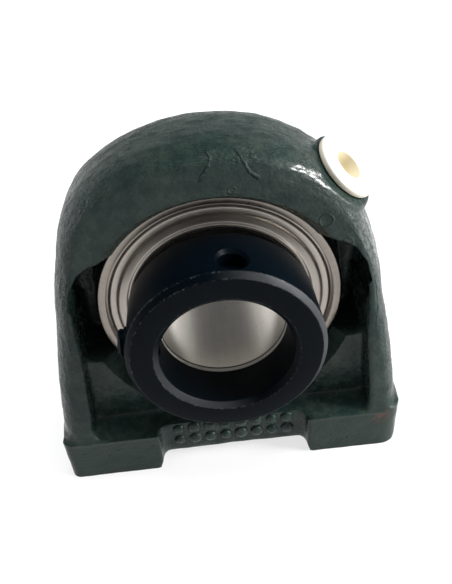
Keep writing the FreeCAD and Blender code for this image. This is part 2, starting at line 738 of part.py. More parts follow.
def build_set_screw():
    """Hollow-head set screw, standing slightly proud of the collar."""
    body = doc.addObject("PartDesign::Body", "set_screw")
    body.Label = "set_screw"
    angle = size("screw_angle")
    tilt = FreeCAD.Rotation(FreeCAD.Vector(0, 1, 0), 90.0 - angle.number)
    body.Placement = FreeCAD.Placement(FreeCAD.Vector(0, 0, 0), tilt)
    head = COLLAR + size("screw_proud")
    middle_y = -(COLLAR_FRONT + INNER_FRONT) / 2
    bind(body, "Placement.Base.x", head * cosine(angle))
    bind(body, "Placement.Base.y", middle_y)
    bind(body, "Placement.Base.z", CENTRE + head * sine(angle))
    bind(body, "Placement.Rotation.Angle", plain(90.0) - angle)
    radius = size("screw_radius")
    length = size("screw_length")
    chamfer = size("screw_chamfer")
    sketch = start_sketch(body, "screw_outline", "XZ_Plane")
    add_outline(sketch, ((ZERO, ZERO), (ZERO, -length), (radius - chamfer, -length),
                         (radius, -length + chamfer), (radius, -chamfer),
                         (radius - chamfer, ZERO)))
    add_feature(body, "Revolution", "turned_screw", sketch, ReferenceAxis=(sketch, ["V_Axis"]),
                Angle=360.0)
    socket = start_sketch(body, "socket_outline", "XY_Plane")
    across = size("screw_socket_radius")
    corners = []
    for index in range(6):
        turn = plain(60.0 * index)
        corners.append((across * cosine(turn), across * sine(turn)))
    add_outline(socket, corners)
    cut(body, "Pocket", "socket", socket, Length=size("screw_socket_depth"))
    return body


def shield_outline(side):
    """Stepped section of a pressed shield. side is -1 at the front and 1 at the rear."""
    sheet_metal = size("shield_sheet")
    rim_y = HALF_RING - size("shield_rim_depth")
    ridge_y = HALF_RING - size("shield_ridge_depth")
    flat_y = HALF_RING - size("shield_flat_depth")
    outer = SHIELD_SEAT - size("shield_slack")
    land = OUTER_LAND
    inner = SHIELD_BORE
    step = sheet_metal
    face = ((outer, rim_y), (land + step, rim_y), (land - step / 2, ridge_y),
            (land - step * 2, ridge_y), (land - step * 3, flat_y),
            (inner + step * 3, flat_y), (inner + step * 2, ridge_y), (inner, ridge_y))
    back = [(radius, y - sheet_metal) for radius, y in face]
    outline = list(face) + back[::-1]
    return [(radius, y * side) for radius, y in outline]


def build_shield(label, side):
    """A pressed steel shield, snapped into the outer ring."""
    body = start_body(label, CENTRE)
    revolve(body, f"{label}_pressing", shield_outline(side))
    return body


def build_seal(label, side):
    """Rubber washer behind a shield, whose lip runs on the inner ring's land."""
    body = start_body(label, CENTRE)
    half = size("seal_thickness") / 2
    outer = OUTER_LAND - size("seal_inset")
    lip = INNER_LAND + size("seal_lip_gap")
    bend = SHIELD_BORE
    points = ((outer, SEAL_FRONT), (bend, SEAL_FRONT), (lip + half, SEAL_FRONT + half),
              (lip, SEAL_FRONT + half), (lip, SEAL_FRONT - half), (bend, SEAL_BACK),
              (outer, SEAL_BACK))
    revolve(body, f"{label}_ring", [(radius, y * side) for radius, y in points])
    return body


def part_object(kind, name, placement=None, **values):
    """A primitive whose sizes are bound to the sheet."""
    primitive = doc.addObject(f"Part::{kind}", name)
    if placement is not None:
        primitive.Placement = placement
    for key, value in values.items():
        bind(primitive, key, value)
    return primitive


def combine(kind, name, **parts):
    """A boolean of other objects."""
    result = doc.addObject(f"Part::{kind}", name)
    for key, value in parts.items():
        setattr(result, key, value)
    return result


def ball_turn(index):
    """Turn about the shaft's axis that brings the first ball's place to another's."""
    return FreeCAD.Rotation(FreeCAD.Vector(0, 1, 0), BALL_PITCH * index)


def build_ball(index):
    """One ball, placed on the pitch circle. The first stands on top."""
    ball = part_object("Sphere", f"ball_{index + 1}", Radius=size("ball_radius"))
    turn = ball_turn(index)
    direction = turn.multVec(FreeCAD.Vector(0, 0, 1))
    ball.Placement = FreeCAD.Placement(FreeCAD.Vector(0, 0, 0), turn)
    bind(ball, "Placement.Base.x", PITCH * direction.x)
    bind(ball, "Placement.Base.z", CENTRE + PITCH * direction.z)
    ball.Label = f"ball_{index + 1}"
    return ball


def cage_ring(name, inner, outer, low, high, lift):
    """A flat washer about the shaft's axis, from low to high along Y."""
    along_y = FreeCAD.Rotation(FreeCAD.Vector(1, 0, 0), -90.0)
    pieces = []
    for suffix, radius, slack in (("outer", outer, ZERO), ("inner", inner, PAST)):
        rod = part_object("Cylinder", f"{name}_{suffix}",
                          FreeCAD.Placement(FreeCAD.Vector(0, 0, 0), along_y), Radius=radius,
                          Height=high - low + slack * 2)
        bind(rod, "Placement.Base.y", low - slack)
        bind(rod, "Placement.Base.z", lift)
        pieces.append(rod)
    return combine("Cut", name, Base=pieces[0], Tool=pieces[1])


def radial_rods(name, radius, lift):
    """One radial rod through each ball's place, all fused."""
    rods = []
    for index in range(BALL_COUNT):
        rod = part_object("Cylinder", f"{name}_{index + 1}",
                          FreeCAD.Placement(FreeCAD.Vector(0, 0, 0), ball_turn(index)),
                          Radius=radius, Height=SEAT)
        bind(rod, "Placement.Base.z", lift)
        rods.append(rod)
    return combine("MultiFuse", name, Shapes=rods)


def build_cage_half(label, side):
    """Half of the ribbon cage: flat tabs between waves that pass round the balls."""
    inner = PITCH - size("cage_inner_drop")
    outer = PITCH + size("cage_outer_rise")
    sheet_metal = size("cage_sheet")
    far = POCKET + sheet_metal
    if side < 0:
        tab = cage_ring(f"{label}_tabs", inner, outer, -sheet_metal, ZERO, CENTRE)
        band = cage_ring(f"{label}_band", inner, outer, -far, ZERO, CENTRE)
    else:
        tab = cage_ring(f"{label}_tabs", inner, outer, ZERO, sheet_metal, CENTRE)
        band = cage_ring(f"{label}_band", inner, outer, ZERO, far, CENTRE)
    outside = radial_rods(f"{label}_outside", far, CENTRE)
    waves = combine("MultiCommon", f"{label}_waves", Shapes=[band, outside])
    ribbon = combine("MultiFuse", f"{label}_ribbon", Shapes=[tab, waves])
    inside = radial_rods(f"{label}_inside", POCKET, CENTRE)
    bare = combine("Cut", f"{label}_bare", Base=ribbon, Tool=inside)
    holes = rivet_rods(f"{label}_holes", size("rivet_radius"), -sheet_metal - PAST,
                       sheet_metal + PAST)
    cage = combine("Cut", label, Base=bare, Tool=holes)
    cage.Label = label
    return cage


def rivet_rods(name, radius, low, high):
    """One rod along Y at each tab's middle, from low to high."""
    rods = []
    along_y = FreeCAD.Rotation(FreeCAD.Vector(1, 0, 0), -90.0)
    for index in range(BALL_COUNT):
        direction = ball_turn(index + 0.5).multVec(FreeCAD.Vector(0, 0, 1))
        rod = part_object("Cylinder", f"{name}_{index + 1}",
                          FreeCAD.Placement(FreeCAD.Vector(0, 0, 0), along_y), Radius=radius,
                          Height=high - low)
        bind(rod, "Placement.Base.x", PITCH * direction.x)
        bind(rod, "Placement.Base.y", low)
        bind(rod, "Placement.Base.z", CENTRE + PITCH * direction.z)
        rods.append(rod)
    return combine("MultiFuse", name, Shapes=rods)


def build_rivets():
    """The cage's rivets, each a shank between two flat heads."""
    sheet_metal = size("cage_sheet")
    high = sheet_metal + size("rivet_head_height")
    shanks = rivet_rods("rivet_shanks", size("rivet_radius"), -sheet_metal, sheet_metal)
    front = rivet_rods("rivet_front_heads", size("rivet_head_radius"), -high, -sheet_metal)
    rear = rivet_rods("rivet_rear_heads", size("rivet_head_radius"), sheet_metal, high)
    rivets = combine("MultiFuse", "cage_rivets", Shapes=[shanks, front, rear])
    rivets.Label = "cage_rivets"
    return rivets


def build_all():
    """Every sub-part, in the order of assembly."""
    parts = [build_housing(), build_plug(), build_outer_ring(), build_inner_ring()]
    parts += [build_ball(index) for index in range(BALL_COUNT)]
    parts += [build_cage_half("cage_front", -1), build_cage_half("cage_rear", 1), build_rivets()]
    parts += [build_shield("front_shield", -1), build_shield("rear_shield", 1)]
    parts += [build_seal("front_seal_lip", -1), build_seal("rear_seal_lip", 1)]
    parts += [build_collar(), build_set_screw()]
    return parts


def write_parts(parts):
    """Check every object, then write one file per sub-part."""
    doc.recompute()
    for item in doc.Objects:
        if "Invalid" in item.State or "Error" in item.State:
            raise RuntimeError(f"{item.Name} failed: {item.State}")
    for part in parts:
        shape = part.Shape
        if shape.isNull() or not shape.isValid() or not shape.Solids:
            raise RuntimeError(f"{part.Label} has no valid shape")
    os.makedirs("parts", exist_ok=True)
    for part in parts:
        part.Shape.exportStep(f"parts/{part.Label}.step")
        print(f"{part.Label}: {len(part.Shape.Solids)} solid, {part.Shape.Volume:.1f} mm3, "
              f"{len(part.Shape.Faces)} faces")


write_parts(build_all())
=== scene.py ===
"""Pillow block bearing unit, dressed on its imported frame.

The CAD solids give every piece its place. Here each visible one gets the form and the finish of
the real thing: a rough enamelled iron casting whose seat, feet and holes are machined, ground
and pressed steel rings, a blackened locking collar and a moulded plug. Meshes are shaped in
millimetres, with the feet on z = 0 and the shaft along Y, and delivered in metres.
"""

import logging
import math
from dataclasses import dataclass
from enum import Enum
from typing import Sequence, Union

import bmesh
import bpy
import numpy as np
from mathutils import Matrix, Vector, noise


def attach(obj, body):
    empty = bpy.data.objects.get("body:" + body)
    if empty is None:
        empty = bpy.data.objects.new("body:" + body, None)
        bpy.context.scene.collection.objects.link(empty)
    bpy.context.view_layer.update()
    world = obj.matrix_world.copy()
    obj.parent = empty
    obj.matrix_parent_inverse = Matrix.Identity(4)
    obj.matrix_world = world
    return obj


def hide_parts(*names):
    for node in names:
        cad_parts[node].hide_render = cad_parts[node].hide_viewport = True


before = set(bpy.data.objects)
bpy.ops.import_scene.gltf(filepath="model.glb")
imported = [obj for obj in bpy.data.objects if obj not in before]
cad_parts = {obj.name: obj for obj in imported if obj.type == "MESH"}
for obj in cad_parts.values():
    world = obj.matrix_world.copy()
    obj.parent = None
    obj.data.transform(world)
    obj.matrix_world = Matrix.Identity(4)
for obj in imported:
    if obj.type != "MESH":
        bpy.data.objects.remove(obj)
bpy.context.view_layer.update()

LOG = logging.getLogger("pillow_block")
MM = 0.001  # in metres
SHAFT_HEIGHT = 36.5  # of the shaft's axis over the feet, in millimetres
ARCH = 34.6  # radius of the arch about that axis
NOWHERE = -99.0  # a place along the shaft that no piece reaches

Mesh = bmesh.types.BMesh
Piece = bpy.types.Object
Finish = bpy.types.Material
Point = tuple[float, float]
Place = tuple[float, float, float]
Colour = tuple[float, float, float]

WHITE: Colour = (1.0, 1.0, 1.0)
BLACK: Colour = (0.0, 0.0, 0.0)


# Shader graphs


class Wire:
    """A shader socket that takes part in Python expressions."""

    def __init__(self, graph: "Graph", socket: bpy.types.NodeSocket) -> None:
        """Keep the socket and the graph that it belongs to."""
        self.graph = graph
        self.socket = socket

    def __add__(self, other: "Value") -> "Wire":
        """Sum."""
        return self.graph.maths("ADD", self, other)

    def __sub__(self, other: "Value") -> "Wire":
        """Difference."""
        return self.graph.maths("SUBTRACT", self, other)

    def __rsub__(self, other: "Value") -> "Wire":
        """Difference, with the number first."""
        return self.graph.maths("SUBTRACT", other, self)

    def __mul__(self, other: "Value") -> "Wire":
        """Product."""
        return self.graph.maths("MULTIPLY", self, other)

    __radd__ = __add__
    __rmul__ = __mul__


Value = Union[Wire, int, float]


class Graph:
    """The node graph of a material or of the world, written as expressions."""

    def __init__(self, owner: Union[Finish, bpy.types.World]) -> None:
        """Start with the owner's graph, emptied.

        Args:
            owner: The material or world, whose nodes are cleared.
        """
        owner.use_nodes = True
        self.owner = owner
        self.tree = owner.node_tree
        self.tree.nodes.clear()

    def node(self, kind: str, settings: dict | None = None, inputs: dict | None = None,
             output: int | str | None = 0) -> Wire:
        """Add one node.

        Args:
            kind: The node's type, without "ShaderNode".
            settings: Its properties, set first.
            inputs: Values or wires, by socket name or index.
            output: The output that the result stands for, or None at the graph's end.

        Returns:
            The chosen output.
        """
        made = self.tree.nodes.new(f"ShaderNode{kind}")
        for key, value in (settings or {}).items():
            setattr(made, key, value)
        for key, value in (inputs or {}).items():
            if isinstance(value, Wire):
                self.tree.links.new(value.socket, made.inputs[key])
            elif isinstance(value, tuple) and made.inputs[key].type == "RGBA":
                made.inputs[key].default_value = (*value, 1.0)
            else:
                made.inputs[key].default_value = value
        return Wire(self, made.outputs[output] if output is not None else None)

    def maths(self, operation: str, first: Value, second: Value = 0.0) -> Wire:
        """A Math node."""
        return self.node("Math", {"operation": operation}, {0: first, 1: second})

    def vector(self, operation: str, inputs: dict, output: int | str = 0) -> Wire:
        """A Vector Math node."""
        return self.node("VectorMath", {"operation": operation}, inputs, output)

    def clamp(self, value: Value) -> Wire:
        """A value held between 0 and 1."""
        return self.node("Clamp", None, {0: value})

    def step(self, value: Value, low: float, high: float) -> Wire:
        """A smooth rise from 0 at low to 1 at high, or a fall where low is the larger.

        Args:
            value: What is measured.
            low: Where the result is 0.
            high: Where it is 1.

        Returns:
            The share, from 0 to 1.
        """
        ends = (low, high, 0.0, 1.0) if low < high else (high, low, 1.0, 0.0)
        return self.node("MapRange", {"interpolation_type": "SMOOTHSTEP"},
                         dict(enumerate((value, *ends))))

    def near(self, value: Wire, middle: float, reach: float, core: float) -> Wire:
        """1 within core of the middle, falling to 0 at reach from it."""
        return self.step(self.maths("ABSOLUTE", value - middle), reach, core)

    def mix(self, share: Value, first: Union[Wire, Colour], second: Union[Wire, Colour]) -> Wire:
        """A blend of two colours."""
        return self.node("Mix", {"data_type": "RGBA"}, {0: share, 6: first, 7: second}, 2)

    def millimetres(self) -> Wire:
        """The place on the piece, in millimetres."""
        place = self.node("TexCoord", output="Object")
        return self.vector("SCALE", {0: place, "Scale": 1.0 / MM})

    def parts(self, vector: Wire) -> tuple[Wire, ...]:
        """The three parts of a vector."""
        split = self.node("SeparateXYZ", None, {0: vector})
        return tuple(Wire(self, output) for output in split.socket.node.outputs)

    def about_shaft(self, place: Wire) -> tuple[Wire, Wire, Wire]:
        """Angle about the shaft's axis, Y and radius of a place.

        Args:
            place: A place in millimetres.

        Returns:
            The three, in that order.
        """
        x, y, z = self.parts(place)
        rise = z - SHAFT_HEIGHT
        return self.maths("ARCTAN2", rise, x), y, self.maths("SQRT", x * x + rise * rise)

    def grain(self, vector: Wire, scale: float, detail: float = 3.0,
              roughness: float = 0.55, distortion: float = 0.0) -> Wire:
        """Noise between 0 and 1.

        Args:
            vector: Where the noise is read.
            scale: Its scale.
            detail: Its octaves.
            roughness: How strong the finer ones are.
            distortion: How far it is bent.

        Returns:
            The noise.
        """
        return self.node("TexNoise", None,
                         {"Vector": vector, "Scale": scale, "Detail": detail,
                          "Roughness": roughness, "Distortion": distortion})

    def drawn(self, about: tuple[Wire, Wire, Wire], scales: Place, *grain: float) -> Wire:
        """Noise drawn out about the shaft.

        Args:
            about: What about_shaft gives.
            scales: A scale for each of its three.
            grain: Scale, detail, roughness and distortion of the noise.

        Returns:
            The noise, between 0 and 1.
        """
        angle, y, radius = (part * scale for part, scale in zip(about, scales))
        return self.grain(self.node("CombineXYZ", None, {0: angle, 1: y, 2: radius}), *grain)

    def from_segment(self, place: Wire, start: Place, end: Place) -> Wire:
        """Distance of a place from a line between two points.

        Args:
            place: The place.
            start: One end.
            end: The other end, which may be the same point.

        Returns:
            The distance.
        """
        along = Vector(end) - Vector(start)
        offset = self.vector("SUBTRACT", {0: place, 1: start})
        if along.length > 0.0:
            dot = self.vector("DOT_PRODUCT",
                              {0: offset, 1: tuple(along / along.length_squared)}, "Value")
            reach = self.vector("SCALE", {0: tuple(along), "Scale": self.clamp(dot)})
            offset = self.vector("SUBTRACT", {0: offset, 1: reach})
        return self.vector("LENGTH", {0: offset}, "Value")

    def attribute(self, name: str) -> Wire:
        """A number stored on the piece's vertices."""
        return self.node("Attribute", {"attribute_name": name}, None, "Fac")

    def rays(self, *kinds: str) -> Wire:
        """1 for light rays of any of these kinds, and 0 for the others."""
        path = self.node("LightPath").socket.node.outputs
        return self.clamp(sum(Wire(self, path[kind]) for kind in kinds))

    def bump(self, height: Wire, depth: float, normal: Wire | None = None) -> Wire:
        """Relief of a given depth in millimetres.

        Args:
            height: Height, about from 0 to 1.
            depth: What a height of 1 stands for, in millimetres.
            normal: Relief to add to.

        Returns:
            The normal.
        """
        inputs = {"Height": height, "Distance": depth * MM, "Strength": 1.0}
        if normal is not None:
            inputs["Normal"] = normal
        return self.node("Bump", None, inputs)

    def finish(self, **sockets: Union[Value, Colour]) -> Finish:
        """Close the graph with one surface shader.

        Args:
            sockets: The shader's sockets, with underscores for spaces.

        Returns:
            The finished material.
        """
        named = {key.replace("_", " "): value for key, value in sockets.items()}
        surface = self.node("BsdfPrincipled", None, named)
        self.node("OutputMaterial", None, {"Surface": surface}, None)
        return self.owner


def new_graph(name: str) -> Graph:
    """The graph of a new material."""
    return Graph(bpy.data.materials.new(name))


# Mesh work


class Cut(Enum):
    """How a tool acts on a piece."""

    REMOVE = "DIFFERENCE"
    ADD = "UNION"


class Axis(Enum):
    """What an outline is turned about."""

    SHAFT = (0.0, 1.0, 0.0)
    UP = (0.0, 0.0, 1.0)


def outline(points: Sequence[Point], rounds: dict[int, float], axis: Axis) -> Mesh:
    """A closed outline, with some of its corners rounded.

    Args:
        points: Corners, as radius and place along the axis.
        rounds: Rounding radius by corner index.
        axis: The axis that the second numbers run along.

    Returns:
        A mesh of edges only.
    """
    bm = bmesh.new()
    corners = [bm.verts.new((radius, along, 0.0) if axis is Axis.SHAFT else (radius, 0.0, along))
               for radius, along in points]
    for pair in zip(corners, corners[1:] + corners[:1]):
        bm.edges.new(pair)
    for index, radius in rounds.items():
        bmesh.ops.bevel(bm, geom=[corners[index]], offset=radius, affect="VERTICES",
                        segments=3, profile=0.5, material=-1)
    return bm


def spin(bm: Mesh, axis: Place, angle: float, steps: int, rise: float = 0.0,
         closed: bool = False) -> None:
    """Sweep a section about an axis through the origin.

    Args:
        bm: The section, which becomes the swept mesh.
        axis: The axis' direction.
        angle: How far it turns, in radians.
        steps: In how many facets.
        rise: Climb along Z with each step.
        closed: Whether the last facet meets the first.
    """
    bmesh.ops.spin(bm, geom=bm.verts[:] + bm.edges[:] + bm.faces[:], cent=(0, 0, 0), axis=axis,
                   dvec=(0, 0, rise), angle=angle, steps=steps, use_merge=closed,
                   use_normal_flip=False, use_duplicate=False)


def tidy(bm: Mesh) -> None:
    """Merge doubles and turn the faces outwards.

    Args:
        bm: The mesh to clean.
    """
    bmesh.ops.remove_doubles(bm, verts=bm.verts[:], dist=0.0004)
    bmesh.ops.dissolve_degenerate(bm, edges=bm.edges[:], dist=0.0002)
    bmesh.ops.recalc_face_normals(bm, faces=bm.faces[:])


def placed(bm: Mesh, name: str) -> Piece:
    """An object of a mesh, still in millimetres.

    Args:
        bm: The mesh, which is used up.
        name: The object's name.

    Returns:
        The object.
    """
    mesh = bpy.data.meshes.new(name)
    bm.to_mesh(mesh)
    bm.free()
    return linked(name, mesh)


def linked(name: str, data: bpy.types.ID) -> Piece:
    """An object in the scene, of a mesh, a lamp or a camera.

    Args:
        name: The object's name.
        data: What it holds.

    Returns:
        The object.
    """
    piece = bpy.data.objects.new(name, data)
    bpy.context.scene.collection.objects.link(piece)
    return piece


def turned(name: str, points: Sequence[Point], rounds: dict[int, float] | None = None,
           axis: Axis = Axis.SHAFT, steps: int = 144) -> Piece:
    """A piece turned from an outline, closed all round.

    Args:
        name: The object's name.
        points: Corners of the outline.
        rounds: Rounding radius by corner index.
        axis: The axis of turning, through the origin.
        steps: Facets of the full turn.

    Returns:
        The object, in millimetres.
    """
    bm = outline(points, rounds or {}, axis)
    spin(bm, axis.value, 2 * math.pi, steps, closed=True)
    tidy(bm)
    return placed(bm, name)


def upright(name: str, points: Sequence[Point], steps: int = 48) -> Piece:
    """A piece turned about Z, without rounded corners."""
    return turned(name, points, None, Axis.UP, steps)


def rod(low: float, high: float, radius: float) -> tuple[Point, ...]:
    """The outline of a plain round bar between two places on its axis."""
    return (0, low), (radius, low), (radius, high), (0, high)


def thread(name: str, root: float, crest: float, pitch: float, turns: float) -> Piece:
    """One ridge of a screw thread, wound about the upright axis from the origin.

    Args:
        name: The object's name.
        root: Radius of the ridge's foot.
        crest: Radius of its top, which may be the smaller for an inside thread.
        pitch: Rise of one turn.
        turns: How many turns.

    Returns:
        The object, in millimetres.
    """
    bm = bmesh.new()
    foot, tip, facets = 0.42 * pitch, 0.07 * pitch, 48
    bm.faces.new([bm.verts.new((radius, 0, height)) for radius, height in
                  ((root, -foot), (crest, -tip), (crest, tip), (root, foot))])
    steps = int(turns * facets)
    spin(bm, Axis.UP.value, 2 * math.pi * steps / facets, steps, pitch / facets)
    tidy(bm)
    return placed(bm, name)


def move(piece: Piece, matrix: Matrix) -> Piece:
    """Move a piece within its own mesh."""
    piece.data.transform(matrix)
    return piece


def lift(piece: Piece, x: float, y: float, z: float) -> Piece:
    """Shift a piece within its own mesh."""
    return move(piece, Matrix.Translation((x, y, z)))


def to_shaft(piece: Piece) -> Piece:
    """Lift a piece turned about the origin to the shaft's height."""
    return lift(piece, 0.0, 0.0, SHAFT_HEIGHT)


def radial(angle: float, radius: float, along: float) -> Matrix:
    """What brings the upright axis to a radial one of the shaft.

    Args:
        angle: Degrees from +X towards +Z.
        radius: Distance of the new origin from the shaft's axis.
        along: Its place along the shaft.

    Returns:
        The transform, in millimetres.
    """
    turn = math.radians(angle)
    base = (radius * math.cos(turn), along, SHAFT_HEIGHT + radius * math.sin(turn))
    return Matrix.Translation(base) @ Matrix.Rotation(math.radians(90.0 - angle), 4, "Y")


def settle(piece: Piece) -> Piece:
    """Make what a piece's modifiers do part of its mesh.

    Args:
        piece: The piece, which loses its modifiers.

    Returns:
        The same piece.
    """
    graph = bpy.context.evaluated_depsgraph_get()
    graph.update()
    mesh = bpy.data.meshes.new_from_object(piece.evaluated_get(graph))
    piece.modifiers.clear()
    old = piece.data
    piece.data = mesh
    bpy.data.meshes.remove(old)
    return piece


def carve(piece: Piece, tool: Piece, cut: Cut = Cut.REMOVE) -> Piece:
    """Act on a piece with a closed tool, which is used up.

    Args:
        piece: The piece.
        tool: The tool.
        cut: Whether it takes away or adds.

    Returns:
        The same piece.
    """
    change = piece.modifiers.new("carve", "BOOLEAN")
    change.operation = cut.value
    change.solver = "MANIFOLD"
    change.object = tool
    settle(piece)
    bpy.data.objects.remove(tool)
    return piece


def merge(piece: Piece, *others: Piece) -> Piece:
    """Put other pieces' meshes into one piece's, as separate shells.

    Args:
        piece: The piece that gets the meshes.
        others: The other pieces, which are used up.

    Returns:
        The same piece.
    """
    bm = bmesh.new()
    bm.from_mesh(piece.data)
    for other in others:
        bm.from_mesh(other.data)
        bpy.data.objects.remove(other)
    bm.to_mesh(piece.data)
    bm.free()
    return piece


def ramp(value: np.ndarray, low: float, high: float) -> np.ndarray:
    """A smooth rise from 0 at low to 1 at high."""
    share = np.clip((value - low) / (high - low), 0.0, 1.0)
    return share * share * (3.0 - 2.0 * share)


def vectors(items: bpy.types.bpy_prop_collection, name: str) -> np.ndarray:
    """One vector an item, as rows.

    Args:
        items: Vertices or normals of a mesh.
        name: The property that holds the vector.

    Returns:
        The rows.
    """
    rows = np.empty(len(items) * 3, dtype=np.float32)
    items.foreach_get(name, rows)
    return rows.reshape(-1, 3)


def deliver(piece: Piece, body: str, nodes: Sequence[str],
            finishes: Sequence[Finish], sharp: float = 35.0) -> Piece:
    """Bring a piece to metres, shade it, and hand it to the frame.

    Args:
        piece: The piece, in millimetres.
        body: The body that it rides on.
        nodes: The CAD nodes that it stands for.
        finishes: Its materials, in the order of its faces' indices.
        sharp: Edges that turn by more than this, in degrees, stay sharp.

    Returns:
        The piece.
    """
    mesh = piece.data
    mesh.transform(Matrix.Scale(MM, 4))
    mesh.polygons.foreach_set("use_smooth", [True] * len(mesh.polygons))
    mesh.set_sharp_from_angle(angle=math.radians(sharp))
    mesh.materials.clear()
    for finish in finishes:
        mesh.materials.append(finish)
    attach(piece, body)
    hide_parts(*nodes)
    LOG.info("%s: %d faces on %s", piece.name, len(mesh.polygons), body)
    return piece


# Finishes


@dataclass(frozen=True)
class CastEnamel:
    """Dark green-grey enamel over a rough casting, streaked where the mould dragged.

    The runs are lines of paint over the arch's front edge, the swirls round marks on its face,
    and pool says between which places along X, Y and Z the paint grows thick and glossy.
    """

    green: Colour = (0.0150, 0.0290, 0.0250)
    deep: Colour = (0.0070, 0.0155, 0.0155)
    dusty: Colour = (0.0255, 0.0390, 0.0325)
    rust: Colour = (0.110, 0.045, 0.030)
    shine: float = 0.18
    gloss: float = 0.20
    streak_depth: float = 0.40
    peel_depth: float = 0.12
    mark_depth: float = 0.30
    run_width: float = 0.42
    swirl_radius: float = 1.25
    pool: tuple[Point, Point, Point] = ((2.0, 12.0), (-5.5, -8.0), (40.0, 50.0))
    runs: tuple[tuple[Place, ...], ...] = (
        ((-0.13, -9.35, 70.56), (0.42, -10.29, 69.84), (-0.05, -11.03, 68.8),
         (-1.21, -11.47, 67.33), (-1.8, -11.5, 66.5)),
        ((4.9, -9.16, 70.3), (5.46, -9.96, 69.7), (5.98, -10.84, 68.6),
         (6.86, -11.37, 67.1), (8.16, -11.48, 66.1)))
    swirls: tuple[Place, ...] = ((20.2, -11.5, 56.3), (24.4, -11.5, 51.2), (3.6, -11.5, 64.2))

    def material(self) -> Finish:
        """Work the finish out as a node graph.

        Returns:
            The material, ready to assign.
        """
        g = new_graph("cast_enamel")
        place = g.millimetres()
        about = g.about_shaft(place)
        wrinkle, dull, rusty = (g.attribute(name) for name in ("wrinkle", "dull", "rusty"))
        streaks = g.drawn(about, (0.42 * ARCH, 1.5, 1.5), 1.0, 4.0, 0.6, 0.9)
        fine = g.drawn(about, (0.9 * ARCH, 2.6, 2.6), 1.2, 2.0, 0.6, 0.4)
        speckle = g.drawn(about, (1.3 * ARCH, 2.2, 2.2), 1.0, 2.0, 0.55)
        peel = g.grain(place, 1.5, 2.0, 0.5)
        broad = g.grain(place, 0.16, 3.0, 0.55)
        patch = g.grain(place, 0.45, 4.0, 0.6)
        blotch = g.step(g.grain(place, 1.7, 3.0, 0.6), 0.45, 0.6)
        pits = g.step(g.grain(place, 0.95, 2.0, 0.5), 0.34, 0.27)
        specks = g.step(g.grain(place, 3.1, 1.0, 0.5), 0.30, 0.24)
        ridges = g.maths("ABSOLUTE", streaks * 2.0 - 1.0)
        height = (streaks * 0.45 - ridges * 0.55 + fine * 0.40 + speckle * 0.55) * wrinkle
        relief = g.bump(peel + patch * 0.8 - pits * dull * 1.4, self.peel_depth)
        relief = g.bump(height, self.streak_depth, relief)
        relief = g.bump(self.paint_marks(g, place), self.mark_depth, relief)
        base = g.mix(g.step(broad, 0.38, 0.64), self.green, self.dusty)
        base = g.mix(g.step(patch, 0.60, 0.36) * 0.55, base, self.deep)
        base = g.mix(g.clamp(dull * 0.45), base, self.dusty)
        base = g.mix(g.clamp(pits * dull * 0.8 + specks * 0.35), base, self.deep)
        base = g.mix(g.clamp(rusty * blotch), base, self.rust)
        rough = g.clamp(self.gloss + patch * 0.14 + dull * 0.30 + specks * 0.2)
        x, y, z = (g.step(part, *ends) for part, ends in zip(g.parts(place), self.pool))
        broken = g.step(speckle + fine * 0.5, 0.70, 0.84) * 0.8
        coat = g.clamp(x * y * z * wrinkle * (1.0 - broken))
        return g.finish(Base_Color=base, Roughness=rough, Specular_IOR_Level=self.shine,
                        Normal=relief, Coat_Weight=coat, Coat_Roughness=self.gloss)

    def paint_marks(self, g: Graph, place: Wire) -> Wire:
        """The runs of paint over the arch's front edge and the swirls left on its face.

        Args:
            g: The graph to add to.
            place: The place in millimetres.

        Returns:
            Height, from 0.
        """
        wavy = g.grain(place, 1.4, 2.0) * 0.5 - 0.25
        marks: Value = 0.0
        for run in self.runs:
            for start, end in zip(run, run[1:]):
                line = g.step(g.from_segment(place, start, end) + wavy,
                              self.run_width, self.run_width * 0.3)
                marks = g.maths("MAXIMUM", marks, line)
        for index, centre in enumerate(self.swirls):
            away = g.from_segment(place, centre, centre) + wavy * 0.5
            marks = marks + g.near(away, self.swirl_radius - 0.3 * index, 0.28, 0.06) * 0.35
        return marks


@dataclass(frozen=True)
class MachinedIron:
    """Cast iron turned or drilled to size and left bare, with the tool's chatter in it."""

    bright: Colour = (0.52, 0.49, 0.45)
    dark: Colour = (0.10, 0.095, 0.09)
    gloss: float = 0.34
    depth: float = 0.07

    def material(self) -> Finish:
        """Work the finish out as a node graph.

        Returns:
            The material, ready to assign.
        """
        g = new_graph("machined_iron")
        place = g.millimetres()
        chatter = g.drawn(g.about_shaft(place), (26.0, 0.15, 0.15), 1.6, 3.0, 0.6)
        grain = g.grain(place, 2.6, 3.0, 0.6)
        stain = g.step(g.grain(place, 0.7, 3.0, 0.6), 0.60, 0.46)
        base = g.mix(g.step(chatter, 0.62, 0.36) * 0.8, self.bright, self.dark)
        base = g.mix(stain * 0.35, base, self.dark)
        return g.finish(Base_Color=base, Metallic=1.0,
                        Roughness=g.clamp(self.gloss + grain * 0.22),
                        Normal=g.bump(chatter + grain * 0.3, self.depth))


